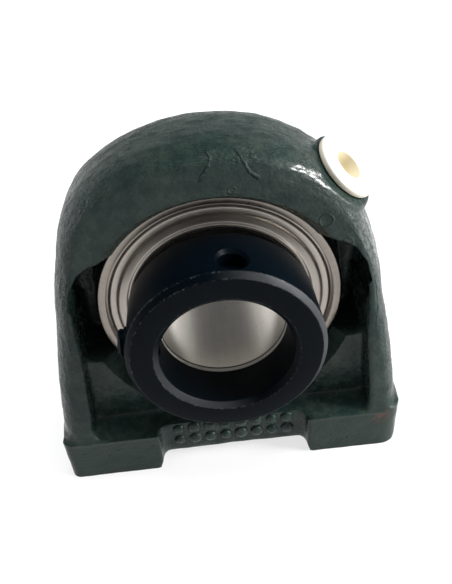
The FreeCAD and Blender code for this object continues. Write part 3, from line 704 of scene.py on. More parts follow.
@dataclass(frozen=True)
class GroundSteel:
    """Steel ground to size, with fine rings left by the wheel and marks across them.

    rings is how many of them a millimetre holds, across the grinding, marks how many crossing
    ones a radian holds, and mouth where the bore's front chamfer begins along the shaft. That
    chamfer gets a painted highlight, a pale cream colour that is less metallic (lip), and a
    dark line of painted shade where it meets the bore.
    """

    name: str
    tone: Colour
    shade: Colour
    gloss: float
    rings: float = 5.0
    depth: float = 0.006
    speck: float = 0.3
    marks: float = 6.0
    mouth: float = NOWHERE
    stain: Colour = (0.03, 0.027, 0.025)
    # The next two colours are painted light at the bore's mouth: a dark line of painted shade and
    # a cream painted highlight on the chamfer.
    painted_shade_line: Colour = (0.008, 0.008, 0.009)
    lip: Colour = (0.95, 0.88, 0.78)

    def material(self) -> Finish:
        """Work the finish out as a node graph.

        Returns:
            The material, ready to assign.
        """
        g = new_graph(self.name)
        place = g.millimetres()
        about = g.about_shaft(place)
        _, y, radius = about
        lines = g.drawn(about, (0.6, self.rings, self.rings), 1.0, 4.0, 0.7)
        bands = g.drawn(about, (self.marks, 0.05, 0.05), 1.0, 3.0, 0.6)
        cloud = g.grain(place, 0.35, 3.0, 0.6)
        dots = g.step(g.grain(place, 2.3, 1.0, 0.4), 0.27, 0.22) * self.speck
        share = g.step(lines, 0.30, 0.72) * 0.45 + cloud * 0.3 + (bands - 0.5) * 0.7
        # Painted highlight on the bore's front chamfer (lip), and a line of painted shade where
        # it meets the bore (edge), both less metallic.
        lip = g.step(y, self.mouth, self.mouth - 0.12) * g.step(radius, 13.3, 13.15)
        edge = g.near(y, self.mouth + 0.14, 0.22, 0.10)
        base = g.mix(g.clamp(share), self.shade, self.tone)
        base = g.mix(g.clamp(dots), base, self.stain)
        base = g.mix(edge * 0.92, base, self.painted_shade_line)
        base = g.mix(lip, base, self.lip)
        return g.finish(Base_Color=base, Metallic=g.clamp(1.0 - lip * 0.75 - edge * 0.6),
                        Roughness=g.clamp(self.gloss + lines * 0.10 + cloud * 0.06
                                          + bands * 0.04 + dots * 0.3),
                        Normal=g.bump(lines, self.depth))


@dataclass(frozen=True)
class BlackOxide:
    """Blackened steel, nicked and rubbed bright along its edges, with painted highlights on its
    chamfers.
    """

    black: Colour = (0.0004, 0.0015, 0.0029)
    bloom: Colour = (0.0016, 0.0042, 0.0070)
    bare: Colour = (0.30, 0.31, 0.32)
    shine: float = 0.045
    gloss: float = 0.26
    front: float = -23.4
    outer: float = 18.75
    bore: float = 12.6
    chamfer: float = 1.0

    def material(self) -> Finish:
        """Work the finish out as a node graph.

        Returns:
            The material, ready to assign.
        """
        g = new_graph("black_oxide")
        place = g.millimetres()
        about = g.about_shaft(place)
        rings = g.drawn(about, (0.4, 4.0, 5.5), 1.0, 4.0, 0.7)
        cloud = g.grain(place, 0.30, 4.0, 0.6)
        grain = g.grain(place, 1.9, 3.0, 0.6)
        # bare holds the wear along the edges and the painted highlight on the chamfers.
        bare = self.wear_and_sheen(g, about, cloud, grain, g.grain(place, 4.5, 2.0, 0.6))
        base = g.mix(g.clamp(cloud * 0.75 + rings * 0.35 - 0.2), self.black, self.bloom)
        base = g.mix(bare, base, self.bare)
        return g.finish(Base_Color=base, Metallic=bare, Specular_IOR_Level=self.shine,
                        Roughness=g.clamp(self.gloss + cloud * 0.16 + rings * 0.08),
                        Normal=g.bump(rings + grain * 0.5, 0.010))

    def wear_and_sheen(self, g: Graph, about: tuple[Wire, Wire, Wire], cloud: Wire, grain: Wire,
             fine: Wire) -> Wire:
        """Where the black is worn through along the edges, plus a painted highlight on the
        chamfers, from 0 to 1.

        Args:
            g: The graph to add to.
            about: What about_shaft gives.
            cloud: Broad noise.
            grain: Noise of a millimetre or less.
            fine: Noise of a fraction of that.

        Returns:
            The share of bare steel, painted highlight included.
        """
        turn, y, radius = about
        depth = y - self.front
        near_front = g.step(depth, 1.25, 0.9)
        rim = g.step(radius, self.outer - 1.08, self.outer - 0.86) * near_front
        mouth = g.step(radius, self.bore + 1.06, self.bore + 0.86) * near_front
        highlight_upper_right = g.step(g.maths("COSINE", turn - math.radians(22.0)), 0.25, 0.95)
        highlight_lower_left = g.step(g.maths("COSINE", turn - math.radians(225.0)), 0.30, 0.95)
        edge = g.near(radius, self.outer - self.chamfer, 0.22, 0.05) \
            + g.near(radius, self.bore + self.chamfer, 0.22, 0.05) \
            + g.near(radius, self.outer, 0.2, 0.05)
        edge = edge * g.step(depth, 1.5, 0.9)
        nicks = edge * g.step(fine, 0.70, 0.73) * 0.8
        rubbed = edge * g.step(grain, 0.50, 0.66) * 0.10
        # Painted highlight: bare steel on the outer chamfer's upper right and the bore chamfer's
        # lower left. The nicks and rubbing along the edges are wear.
        return g.clamp(rim * highlight_upper_right * (cloud * 0.08 + 0.11)
                       + mouth * highlight_lower_left * (cloud * 0.08 + 0.06) + nicks + rubbed)


@dataclass(frozen=True)
class MouldedWhite:
    """Cream-white moulded plastic, darker cream in its recess and round its rim: partly the
    plastic's own cream, partly painted shade.
    """

    white: Colour = (0.72, 0.705, 0.67)
    cream: Colour = (0.70, 0.63, 0.46)
    gloss: float = 0.36
    shine: float = 0.35

    def material(self) -> Finish:
        """Work the finish out as a node graph.

        Returns:
            The material, ready to assign.
        """
        g = new_graph("moulded_white")
        place = g.millimetres()
        cloud = g.grain(place, 0.4, 3.0, 0.5)
        # Darker cream in the recess and on the flange's side: partly the plastic's own cream,
        # partly painted shade.
        share = g.clamp(g.attribute("cream_and_shade") + cloud * 0.16 - 0.05)
        return g.finish(Base_Color=g.mix(share, self.white, self.cream),
                        Roughness=g.clamp(self.gloss + cloud * 0.12),
                        Specular_IOR_Level=self.shine,
                        Normal=g.bump(g.grain(place, 1.4, 2.0), 0.012))


@dataclass(frozen=True)
class SealRubber:
    """Black rubber, moulded and dusty with grease."""

    black: Colour = (0.010, 0.010, 0.011)
    dust: Colour = (0.030, 0.029, 0.027)
    gloss: float = 0.5
    shine: float = 0.3

    def material(self) -> Finish:
        """Work the finish out as a node graph.

        Returns:
            The material, ready to assign.
        """
        g = new_graph("seal_rubber")
        grain = g.grain(g.millimetres(), 1.1, 4.0, 0.6)
        return g.finish(Base_Color=g.mix(g.step(grain, 0.45, 0.7), self.black, self.dust),
                        Roughness=g.clamp(self.gloss + grain * 0.2),
                        Specular_IOR_Level=self.shine, Normal=g.bump(grain, 0.02))


# Pieces


@dataclass(frozen=True)
class OilWay:
    """Where the lubrication hole meets the arch, and how it leans to the front."""

    place: float = 45.0
    steepness: float = 48.5
    lean: float = 18.0
    forward: float = 2.4

    def frame(self, rise: float = 0.0) -> Matrix:
        """What brings the upright axis onto the hole's, from rise above the arch.

        Args:
            rise: Height over the arch along the hole.

        Returns:
            The transform, in millimetres.
        """
        place = math.radians(self.place)
        mouth = (ARCH * math.cos(place), -self.forward, SHAFT_HEIGHT + ARCH * math.sin(place))
        tip = Matrix.Rotation(math.radians(90.0 - self.steepness), 4, "Y")
        turn = tip @ Matrix.Rotation(math.radians(self.lean), 4, "X")
        return Matrix.Translation(mouth) @ turn @ Matrix.Translation((0.0, 0.0, rise))

    def measure(self, places: np.ndarray) -> tuple[np.ndarray, np.ndarray]:
        """Distance from the hole's axis and height along it, of places in millimetres.

        Args:
            places: One place in millimetres a row.

        Returns:
            Both, one number a row.
        """
        back = np.array(self.frame().inverted())
        local = places @ back[:3, :3].T + back[:3, 3]
        return np.hypot(local[:, 0], local[:, 1]), local[:, 2]


@dataclass
class CastHousing:
    """The casting, rounded and rough as the mould left it, then machined where it must fit.

    The swells, by angle over the arch and by height down the walls, bring the plain solid's
    outline to the photograph's; crown and rounding shape its edges across the width.
    """

    seat: float = 26.0
    seat_edge: float = 8.2
    mouth: float = 26.8
    half_arch: float = 11.5
    foot: float = 11.0
    apron_face: float = 15.5
    bolt_place: float = 25.4
    bolt_radius: float = 5.0
    bolt_depth: float = 15.0
    bolt_chamfer: float = 0.8
    drill_point: float = 59.0
    way: OilWay = OilWay()
    pad_radius: float = 6.9
    pad_base: float = 7.5
    spot_radius: float = 7.4
    spot_rise: float = 1.15
    plug_hole: float = 4.8
    plug_depth: float = 6.0
    oil_hole: float = 2.0
    oil_depth: float = 10.3
    grain: float = 0.5
    soften: int = 7
    under: float = 1.2
    rounding: float = 4.2
    crown: float = 9.0
    swell_angles: tuple[float, ...] = (0.0, 20.0, 45.0, 70.0, 90.0, 110.0, 135.0, 160.0, 180.0)
    swells: tuple[float, ...] = (-1.25, -1.35, 0.7, 1.3, 0.95, 1.4, 1.95, -1.4, -1.05)
    wall_heights: tuple[float, ...] = (11.0, 24.0, 36.5)
    right_wall: tuple[float, ...] = (-0.15, -0.35, -1.25)
    left_wall: tuple[float, ...] = (0.10, 0.05, -1.05)
    width_heights: tuple[float, ...] = (11.0, 46.0, 56.0)
    half_widths: tuple[float, ...] = (18.2, 12.3, 11.5)
    foot_corner: Point = (37.25, 18.35)
    corner_right: float = 4.0
    corner_left: float = 2.2
    pip_columns: int = 8
    pip_rows: int = 2
    pip_start: Point = (-12.1, 5.9)
    pip_step: Point = (3.45, 3.5)
    slot_line: tuple[Point, ...] = ((20.0, 8.0), (21.0, 15.6), (23.6, 15.2), (26.2, 13.4),
                                    (28.2, 10.4), (29.2, 6.6), (29.3, 2.0), (24.0, 2.0))
    slot_front: float = -13.0
    slot_depth: float = 13.4

    def build(self, enamel: Finish, iron: Finish) -> Piece:
        """Cast, machine and deliver the housing.

        Args:
            enamel: Finish of the cast skin.
            iron: Finish of the machined faces.

        Returns:
            The delivered piece.
        """
        piece = self.rough_casting()
        self.crown_skin(piece)
        self.weather(piece)
        for pip in self.pips():
            carve(piece, pip, Cut.ADD)
        self.machine(piece)
        self.mark_surfaces(piece)
        merge(piece, *self.bolt_threads(), self.oil_thread())
        return deliver(piece, "housing_body", ["housing"], [enamel, iron], 42.0)

    def rough_casting(self) -> Piece:
        """The CAD casting with its machined places filled again, softened like sand cast iron.

        Returns:
            The casting, in millimetres.
        """
        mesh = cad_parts["housing"].data.copy()
        mesh.transform(Matrix.Scale(1.0 / MM, 4))
        mesh.materials.clear()
        piece = linked("housing_casting", mesh)
        bm = bmesh.new()
        bm.from_mesh(mesh)
        bmesh.ops.remove_doubles(bm, verts=bm.verts[:], dist=0.002)
        sole = [v for v in bm.verts if abs(v.co.z) < 0.001]
        bmesh.ops.translate(bm, verts=sole, vec=(0.0, 0.0, -self.under))
        bmesh.ops.recalc_face_normals(bm, faces=bm.faces[:])
        bm.to_mesh(mesh)
        bm.free()
        parts = [self.lip_arc("lip_top", 38.0, 142.0, -1.0),
                 self.lip_arc("lip_low", 200.0, 340.0, -1.0),
                 self.lip_arc("lip_rear", 0.0, 360.0, 1.0)]
        for side in (1.0, -1.0):
            stud = upright("bolt_fill", rod(-self.under, self.bolt_depth + 3.3,
                                            self.bolt_radius + 0.3))
            parts.append(lift(stud, side * self.bolt_place, 0.0, 0.0))
        stem, shoulder, top = self.plug_hole + 0.3, -3.5, self.spot_rise + 0.3
        pad = upright("oil_pad", ((0, -8.6), (stem, -8.6), (stem, shoulder),
                                  (self.pad_base, shoulder), (self.pad_radius, top), (0, top)))
        parts.append(move(pad, self.way.frame()))
        merge(piece, *parts)
        remesh = piece.modifiers.new("sand", "REMESH")
        remesh.mode = "VOXEL"
        remesh.voxel_size = self.grain
        soften = piece.modifiers.new("soften", "SMOOTH")
        soften.factor = 0.5
        soften.iterations = self.soften
        return settle(piece)

    def lip_arc(self, name: str, start: float, end: float, side: float) -> Piece:
        """Stock that fills the seat's mouth over an arc, so that the turning cuts it crisp.

        Args:
            name: The object's name.
            start: First angle, in degrees from +X towards +Z.
            end: Last angle.
            side: -1 at the front and 1 at the rear.

        Returns:
            The object, in millimetres.
        """
        inside, outside = self.seat - 4.0, self.mouth + 0.5
        deep, face = side * 5.0, side * self.half_arch
        bm = outline(((inside, deep), (outside, deep), (outside, face), (inside, face)), {},
                     Axis.SHAFT)
        full = end - start > 359.0
        if not full:
            bm.faces.new(bm.verts[:])
        spin(bm, (0, -1, 0), math.radians(end - start), int((end - start) / 3.0), closed=full)
        bmesh.ops.rotate(bm, verts=bm.verts[:], cent=(0, 0, 0),
                         matrix=Matrix.Rotation(-math.radians(start), 3, "Y"))
        tidy(bm)
        return to_shaft(placed(bm, name))

    def pips(self) -> list[Piece]:
        """Plain round pips in two rows on the apron, where the casting carries its relief.

        Returns:
            The pips, each closed.
        """
        made = []
        for column in range(self.pip_columns):
            for row in range(self.pip_rows):
                wide = 1.25 + 0.12 * ((column * 2 + row * 3) % 3)
                bm = bmesh.new()
                bmesh.ops.create_icosphere(bm, subdivisions=3, radius=1.0)
                bmesh.ops.scale(bm, vec=(wide, 0.85, wide), verts=bm.verts[:])
                place = (self.pip_start[0] + self.pip_step[0] * column, -self.apron_face,
                         self.pip_start[1] + self.pip_step[1] * row)
                bmesh.ops.translate(bm, vec=place, verts=bm.verts[:])
                made.append(placed(bm, "pip"))
        return made

    def crown_skin(self, piece: Piece) -> None:
        """Crown the outside across its width, draw the walls in and round the feet.

        Args:
            piece: The casting.
        """
        mesh = piece.data
        places = vectors(mesh.vertices, "co").astype(np.float64)
        x, y, z = places.T
        rise = z - SHAFT_HEIGHT
        radius = np.maximum(np.hypot(x, rise), 1e-3)
        angle = np.degrees(np.arctan2(rise, x))
        above = rise >= 0.0
        blur = (-6.0, -3.0, 0.0, 3.0, 6.0)
        swell = sum(np.interp(angle + turn, self.swell_angles, self.swells)
                    for turn in blur) / len(blur)
        right = np.interp(z, self.wall_heights, self.right_wall)
        left = np.interp(z, self.wall_heights, self.left_wall)
        swell = np.where(above, swell, np.where(x > 0.0, right, left))
        inset = np.interp(z, self.width_heights, self.half_widths) - np.abs(y)
        sink = self.drop(inset, self.crown) - self.drop(inset, self.rounding)
        reach = np.where(above, radius, np.abs(x))
        shift = (swell - sink) * (ramp(reach, 28.5, 32.5) * ramp(z, 9.5, 12.0))
        places[:, 0] += shift * np.where(above, x / radius, np.sign(x))
        places[:, 2] += shift * np.where(above, rise / radius, 0.0)
        self.trim_feet(places)
        mesh.vertices.foreach_set("co", places.astype(np.float32).ravel())
        mesh.update()

    def trim_feet(self, places: np.ndarray) -> None:
        """Draw the feet in a little, round their corners and lower the apron's edge.

        Args:
            places: One place in millimetres a row. They are moved.
        """
        x, y, z = places.T
        low = 1.0 - ramp(z, 10.0, 12.0)
        ends = np.where(x > 0.0, 0.30, 0.70)
        x -= np.sign(x) * ends * low * np.clip((np.abs(x) - 30.0) / 8.0, 0.0, 1.0)
        y += 0.65 * low * np.clip((-y - 15.6) / 3.4, 0.0, 1.0)
        for side, corner in ((1.0, self.corner_right), (-1.0, self.corner_left)):
            over_x = side * x - (self.foot_corner[0] - corner)
            over_y = -y - (self.foot_corner[1] - corner)
            past = np.hypot(over_x, over_y)
            outside = (over_x > 0.0) & (over_y > 0.0) & (past > corner) & (z < self.foot + 0.6)
            pull = np.where(outside, corner / np.maximum(past, 1e-3) - 1.0, 0.0)
            x += side * over_x * pull
            y -= over_y * pull
        apron = ramp(np.abs(x), 18.0, 16.8)
        z -= 1.1 * apron * np.clip((5.6 - z) / 2.0, 0.0, 1.0)

    def drop(self, inset: np.ndarray, reach: float) -> np.ndarray:
        """How far a rounding falls at a distance inside the casting's face."""
        share = np.clip(1.0 - inset / reach, 0.0, 1.0)
        return self.rounding * (1.0 - np.sqrt(1.0 - share ** 2))

    def weather(self, piece: Piece) -> None:
        """Push the cast skin in and out: drag marks over the arch, swells and pits elsewhere.

        Args:
            piece: The casting.
        """
        mesh = piece.data
        places = vectors(mesh.vertices, "co")
        normals = vectors(mesh.vertex_normals, "vector")
        rise = places[:, 2] - SHAFT_HEIGHT
        radius = np.hypot(places[:, 0], rise)
        angle = np.arctan2(rise, places[:, 0])
        drag = self.skin_share(places, normals)
        push = np.zeros(len(places))
        for index in range(len(places)):
            x, y, z = (float(v) for v in places[index])
            swell = noise.noise(Vector((x * 0.09, y * 0.09, z * 0.09))) * 0.16
            rough = noise.noise(Vector((x * 0.42 + 9, y * 0.42, z * 0.42))) * 0.075
            length = float(angle[index]) * ARCH
            streak = noise.noise(Vector((length * 0.26, y * 0.95, radius[index] * 0.95)))
            streak += 0.6 * noise.noise(Vector((length * 0.55 + 5, y * 1.9, radius[index] * 1.9)))
            push[index] = swell + rough + streak * 0.11 * float(drag[index])
        cap = (np.abs(places[:, 1]) > self.half_arch - 0.6) & (rise > -5.0)
        land = 1.0 / (1.0 + np.exp(np.minimum((radius - 30.9) / 0.22, 80.0)))
        push += np.where(cap, land * 0.13, 0.0)
        off, up = self.way.measure(places)
        push *= np.where(up > -4.0, ramp(off, 7.4, 9.5), 1.0)
        places += normals * push[:, None].astype(np.float32)
        self.level_pad(places)
        mesh.vertices.foreach_set("co", places.ravel())
        mesh.update()

    def level_pad(self, places: np.ndarray) -> None:
        """Level the skin under the plug's flange and, smoothly, a little before it.

        Args:
            places: One place in millimetres a row. They are moved.
        """
        back = np.array(self.way.frame().inverted())
        off, up = self.way.measure(places)
        ahead = -(places @ back[1, :3] + back[1, 3]) / np.maximum(off, 1e-3)
        reach = 6.4 + 1.7 * np.clip(ahead, 0.0, 1.0)
        share = 1.0 - ramp(off - reach, 0.0, 1.2)
        rise = share * (self.spot_rise - 0.02 - up)
        rise = np.where((up > -2.2) & ((ahead > 0.25) | (rise < 0.0)), rise, 0.0)
        places += (rise[:, None] * np.linalg.inv(back)[:3, 2]).astype(np.float32)

    def skin_share(self, places: np.ndarray, normals: np.ndarray) -> np.ndarray:
        """How far each place belongs to the outer skin of arch and walls, from 0 to 1.

        Args:
            places: Places in millimetres.
            normals: Outward directions.

        Returns:
            One number a place.
        """
        rise = places[:, 2] - SHAFT_HEIGHT
        radius = np.maximum(np.hypot(places[:, 0], rise), 1e-3)
        outward = (normals[:, 0] * places[:, 0] + normals[:, 2] * rise) / radius
        outside = (radius > 30.5) | (np.abs(places[:, 0]) > 33.5)
        above = np.clip((places[:, 2] - self.foot - 1.0) / 4.0, 0.0, 1.0)
        return np.where(outside, np.clip(outward * 1.6, 0.0, 1.0), 0.0) * above

    def machine(self, piece: Piece) -> None:
        """Turn the seat and its mouths, face the feet, drill and spot-face the holes.

        Args:
            piece: The casting.
        """
        edge = math.sqrt(self.seat ** 2 - self.seat_edge ** 2)
        steps = 18
        alongs = [-self.seat_edge + 2 * self.seat_edge * index / steps
                  for index in range(1, steps)]
        arc = [(math.sqrt(self.seat ** 2 - along ** 2), along) for along in alongs]
        face, clear = self.half_arch + 0.05, 24
        bar = [(0, -clear), (self.mouth, -clear), (self.mouth, -face), (edge, -self.seat_edge),
               *arc, (edge, self.seat_edge), (self.mouth, face), (self.mouth, clear), (0, clear)]
        carve(piece, to_shaft(turned("seat_bar", bar, steps=216)))
        bm = bmesh.new()
        bmesh.ops.create_cube(bm, size=2.0)
        bmesh.ops.scale(bm, vec=(60, 40, 5), verts=bm.verts[:])
        bmesh.ops.translate(bm, vec=(0, 0, -5), verts=bm.verts[:])
        carve(piece, placed(bm, "facing_mill"))
        radius, depth, chamfer = self.bolt_radius, self.bolt_depth, self.bolt_chamfer
        tip = depth + radius / math.tan(math.radians(self.drill_point))
        for side in (1.0, -1.0):
            drill = upright("bolt_drill", ((0, -2), (radius + chamfer, -2),
                                           (radius + chamfer, 0.0), (radius, chamfer),
                                           (radius, depth), (0, tip)), 72)
            carve(piece, lift(drill, side * self.bolt_place, 0.0, 0.0))
        for side in (1.0, -1.0):
            carve(piece, self.slot_corner(side))
        top = self.spot_rise
        spot = upright("spot_drill", ((0, 6), (self.spot_radius, 6), (self.spot_radius, top),
                                      (self.plug_hole + 0.4, top), (self.plug_hole, top - 0.4),
                                      (self.plug_hole, -self.plug_depth),
                                      (self.oil_hole, -self.plug_depth),
                                      (self.oil_hole, -self.oil_depth), (0, -self.oil_depth)), 72)
        carve(piece, move(spot, self.way.frame()))

    def slot_corner(self, side: float) -> Piece:
        """What the core leaves open above a loading slot, in a rounder line than its edge.

        Args:
            side: 1 for the right slot and -1 for the left.

        Returns:
            The tool, in millimetres.
        """
        bm = bmesh.new()
        face = bm.faces.new([bm.verts.new((side * x, self.slot_front, SHAFT_HEIGHT + rise))
                             for x, rise in self.slot_line])
        made = bmesh.ops.extrude_face_region(bm, geom=[face])
        moved = [item for item in made["geom"] if isinstance(item, bmesh.types.BMVert)]
        bmesh.ops.translate(bm, verts=moved, vec=(0.0, self.slot_depth, 0.0))
        tidy(bm)
        return placed(bm, "slot_core")

    def mark_surfaces(self, piece: Piece) -> None:
        """Tell machined faces from cast ones, with the front mouth's upper left as bare iron for
        a painted highlight, and store where the skin is streaked or dull.

        Args:
            piece: The machined casting.
        """
        mesh = piece.data
        for polygon in mesh.polygons:
            polygon.material_index = 1 if self.is_bare_or_highlight(polygon.center, polygon.normal) else 0
        places = vectors(mesh.vertices, "co")
        normals = vectors(mesh.vertex_normals, "vector")
        x, y, z = places.T
        facing = np.clip((np.abs(normals[:, 1]) - 0.6) * 3.0, 0.0, 1.0)
        low = np.clip((self.foot + 1.2 - z) / 1.5, 0.0, 1.0)
        spot = np.exp(-((x - 32.6) ** 2 + (y + 19.0) ** 2 + (z - 9.2) ** 2) / 3.5)
        off, up = self.way.measure(places)
        smooth = np.where(up > -4.0, ramp(off, 7.6, 9.8), 1.0)
        tables = {"wrinkle": self.skin_share(places, normals) * smooth,
                  "dull": facing * low * (np.abs(y) > 17.0), "rusty": spot}
        for name, numbers in tables.items():
            table = mesh.attributes.new(name, "FLOAT", "POINT")
            table.data.foreach_set("value", numbers.astype(np.float32))

    def is_bare_or_highlight(self, place: Vector, normal: Vector) -> bool:
        """Whether a face shows bare iron: machined and left without paint, except on the front
        mouth cone, which is bare only on its upper left as a painted highlight and dark enamel
        elsewhere as painted shade.

        Args:
            place: The face's middle, in millimetres.
            normal: Its direction.

        Returns:
            True where it shows bare iron.
        """
        rise = place.z - SHAFT_HEIGHT
        radius = math.hypot(place.x, rise)
        if abs(math.sqrt(radius ** 2 + place.y ** 2) - self.seat) < 0.03:
            return True
        if place.z < 0.03 and normal.z < -0.9:
            return True
        if math.hypot(abs(place.x) - self.bolt_place, place.y) < self.bolt_radius + 0.85 \
                and place.z < self.bolt_depth + 3.2:
            return True
        local = self.way.frame().inverted() @ place
        if math.hypot(local.x, local.y) < self.plug_hole + 0.5 \
                and -self.oil_depth < local.z < self.spot_rise + 0.02:
            return True
        inward = (normal.x * place.x + normal.z * rise) / max(radius, 1e-3)
        on_cone = self.seat_edge - 0.1 < abs(place.y) < self.half_arch + 0.5 \
            and radius < self.mouth + 0.02 and inward < -0.5
        # Painted light on the front mouth cone: bare iron on its upper left arc, 91 to 158
        # degrees, as a painted highlight, and dark enamel on the rest as painted shade. The rear
        # cone is bare all round.
        angle = math.degrees(math.atan2(rise, place.x)) % 360.0
        return on_cone and (place.y > 0 or 91.0 < angle < 158.0)

    def bolt_threads(self) -> list[Piece]:
        """The M10 threads inside the feet.

        Returns:
            The two ridges.
        """
        made = []
        for side in (1.0, -1.0):
            ridge = thread("bolt_thread", self.bolt_radius + 0.05, self.bolt_radius - 0.75,
                           1.5, 8.6)
            made.append(self.as_iron(lift(ridge, side * self.bolt_place, 0.0, 1.4)))
        return made

    def oil_thread(self) -> Piece:
        """The fine thread that holds the plug."""
        ridge = thread("oil_thread", self.plug_hole + 0.05, self.plug_hole - 0.15, 1.0, 4.8)
        return self.as_iron(move(ridge, self.way.frame(0.7 - self.plug_depth)))

    @staticmethod
    def as_iron(piece: Piece) -> Piece:
        """Give all of a piece's faces the bare iron's index."""
        piece.data.polygons.foreach_set("material_index", [1] * len(piece.data.polygons))
        return piece


@dataclass
class TransportPlug:
    """The moulded plug of the lubrication hole."""

    way: OilWay = OilWay()
    seat: float = 1.3
    flange: float = 6.72
    thick: float = 1.25
    recess: float = 3.0
    depth: float = 4.2
    stem: float = 4.42
    length: float = 6.6

    def build(self, white: Finish) -> Piece:
        """Mould and deliver the plug.

        Args:
            white: Its finish.

        Returns:
            The delivered piece.
        """
        floor = self.thick - self.depth
        points = ((0, -self.length), (self.stem - 0.5, -self.length),
                  (self.stem, -self.length + 0.5), (self.stem, 0), (self.flange, 0),
                  (self.flange, self.thick), (self.recess, self.thick),
                  (self.recess - 0.25, floor), (0, floor - 0.35))
        rounds = {3: 0.15, 4: 0.30, 5: 0.42, 6: 0.28, 7: 0.5}
        piece = turned("grease_plug_moulded", points, rounds, Axis.UP, 96)
        ridge = thread("plug_thread", self.stem - 0.1, self.stem + 0.17, 1.0, 4.2)
        carve(piece, lift(ridge, 0.0, 0.0, -self.length + 1.0), Cut.ADD)
        # Painted shade, partly the plastic's own cream: the recess and the flange's side are
        # marked to take a darker cream than the top.
        cream_and_shade = piece.data.attributes.new("cream_and_shade", "FLOAT", "POINT")
        for vertex, share in zip(piece.data.vertices, cream_and_shade.data):
            off = math.hypot(vertex.co.x, vertex.co.y)
            in_recess = off < self.recess + 0.2 and vertex.co.z < self.thick - 0.15
            on_rim = vertex.co.z < self.thick - 0.3 and off > self.flange - 0.3
            share.value = 0.85 if in_recess else 0.6 if on_rim else 0.0
        move(piece, self.way.frame(self.seat))
        return deliver(piece, "plug", ["grease_plug"], [white])


@dataclass(frozen=True)
class BallTrack:
    """The path of the balls, which both rings are ground to."""

    race: float = 4.13
    pitch: float = 19.5
    ball: float = 3.969
    play: float = 0.03

    def arc(self, side: float, land: float, steps: int) -> list[Point]:
        """The track's section, from one edge to the other.

        Args:
            side: 1 in the outer ring, -1 on the inner one.
            land: Radius of the lands beside the track.
            steps: How many steps it is drawn in.

        Returns:
            Points as radius and place along the shaft.
        """
        centre = self.pitch + side * (self.ball + self.play - self.race)
        reach = math.sqrt(self.race ** 2 - (land - centre) ** 2)
        alongs = [side * (reach - 2 * reach * index / steps) for index in range(steps + 1)]
        return [(centre + side * math.sqrt(max(self.race ** 2 - y ** 2, 0.0)), y)
                for y in alongs]


@dataclass
class InsertRings:
    """Outer ring, shields and seal lips: what stays in the seat and tilts with the shaft."""

    sphere: float = 25.95
    half: float = 7.5
    land: float = 22.1
    shield_seat: float = 23.4
    face_bore: float = 23.2
    track: BallTrack = BallTrack()
    groove_place: float = 2.6
    groove_width: float = 3.2
    groove_depth: float = 0.6
    feed_place: float = 3.9
    feed_radius: float = 0.7
    sheet: float = 0.5
    shield_bore: float = 18.2
    sunk: float = 0.85

    def build(self, ring: Finish, shield: Finish, rubber: Finish) -> None:
        """Make and deliver the five rings.

        Args:
            ring: Finish of the outer ring.
            shield: Finish of the shields.
            rubber: Finish of the seal lips.
        """
        self.outer_ring(ring)
        for side, name in ((-1, "front"), (1, "rear")):
            self.shield(name, side, shield)
            self.seal(name, side, rubber)

    def on_sphere(self, y: float) -> Point:
        """The point of the ground outside at a place along the shaft."""
        return math.sqrt(self.sphere ** 2 - y ** 2), y

    def outer_ring(self, ring: Finish) -> Piece:
        """The ground outer ring with its oil groove, feeds and ball track.

        Args:
            ring: Its finish.

        Returns:
            The delivered piece.
        """
        low = self.groove_place - self.groove_width / 2
        high = self.groove_place + self.groove_width / 2
        floor = self.sphere - self.groove_depth
        face, rim = self.half, self.half - self.sunk
        outer, inner = rim + 0.05, rim - 0.55
        alongs = (-face, -6.0, -4.5, -3.0, -1.5, -0.3, low)
        points = [*map(self.on_sphere, alongs), (floor, low), (floor, high),
                  *map(self.on_sphere, (high, 5.0, 6.0, face)),
                  (self.face_bore, face), (self.face_bore, outer), (self.shield_seat, outer),
                  (self.shield_seat, inner), (self.land, inner),
                  *self.track.arc(1.0, self.land, 10), (self.land, -inner),
                  (self.shield_seat, -inner), (self.shield_seat, -outer),
                  (self.face_bore, -outer), (self.face_bore, -face)]
        rounds = {len(points) - 1: 0.12, 0: 0.22}
        piece = turned("outer_ring_ground", points, rounds, steps=180)
        pin = upright("feed_drill", rod(-30, 30, self.feed_radius), 24)
        carve(piece, lift(pin, 0.0, self.feed_place, 0.0))
        return deliver(to_shaft(piece), "insert", ["outer_ring"], [ring], 24.0)

    def shield(self, name: str, side: int, steel: Finish) -> Piece:
        """A pressed shield with its stepped face.

        Args:
            name: "front" or "rear".
            side: -1 or 1 along the shaft.
            steel: Its finish.

        Returns:
            The piece.
        """
        rim, ridge, flat = self.half - self.sunk, self.half - 0.30, self.half - 0.62
        face = ((23.35, rim), (22.75, rim), (22.30, ridge), (21.1, ridge), (20.6, flat),
                (19.05, flat), (18.75, ridge), (self.shield_bore, ridge))
        back = tuple((radius, y - self.sheet) for radius, y in face)[::-1]
        points = [(radius, y * side) for radius, y in face + back]
        rounds = {index: 0.2 for index in (*range(1, 7), *range(9, 15))}
        rounds.update({7: 0.16, 8: 0.1, 0: 0.1, 15: 0.1})
        piece = to_shaft(turned(f"{name}_shield_pressed", points, rounds, steps=180))
        return deliver(piece, "insert", [f"{name}_shield"], [steel], 60.0)

    def seal(self, name: str, side: int, rubber: Finish) -> Piece:
        """A rubber lip behind its shield.

        Args:
            name: "front" or "rear".
            side: -1 or 1 along the shaft.
            rubber: Its finish.

        Returns:
            The delivered piece.
        """
        section = ((21.4, 5.9), (18.2, 5.9), (17.4, 6.25), (17.05, 6.25), (17.05, 5.55),
                   (18.2, 5.2), (21.4, 5.2))
        points = [(radius, y * side) for radius, y in section]
        rounds = {1: 0.3, 2: 0.1, 3: 0.1, 4: 0.1, 5: 0.3}
        piece = to_shaft(turned(f"{name}_seal_moulded", points, rounds))
        return deliver(piece, "insert", [f"{name}_seal_lip"], [rubber], 60.0)


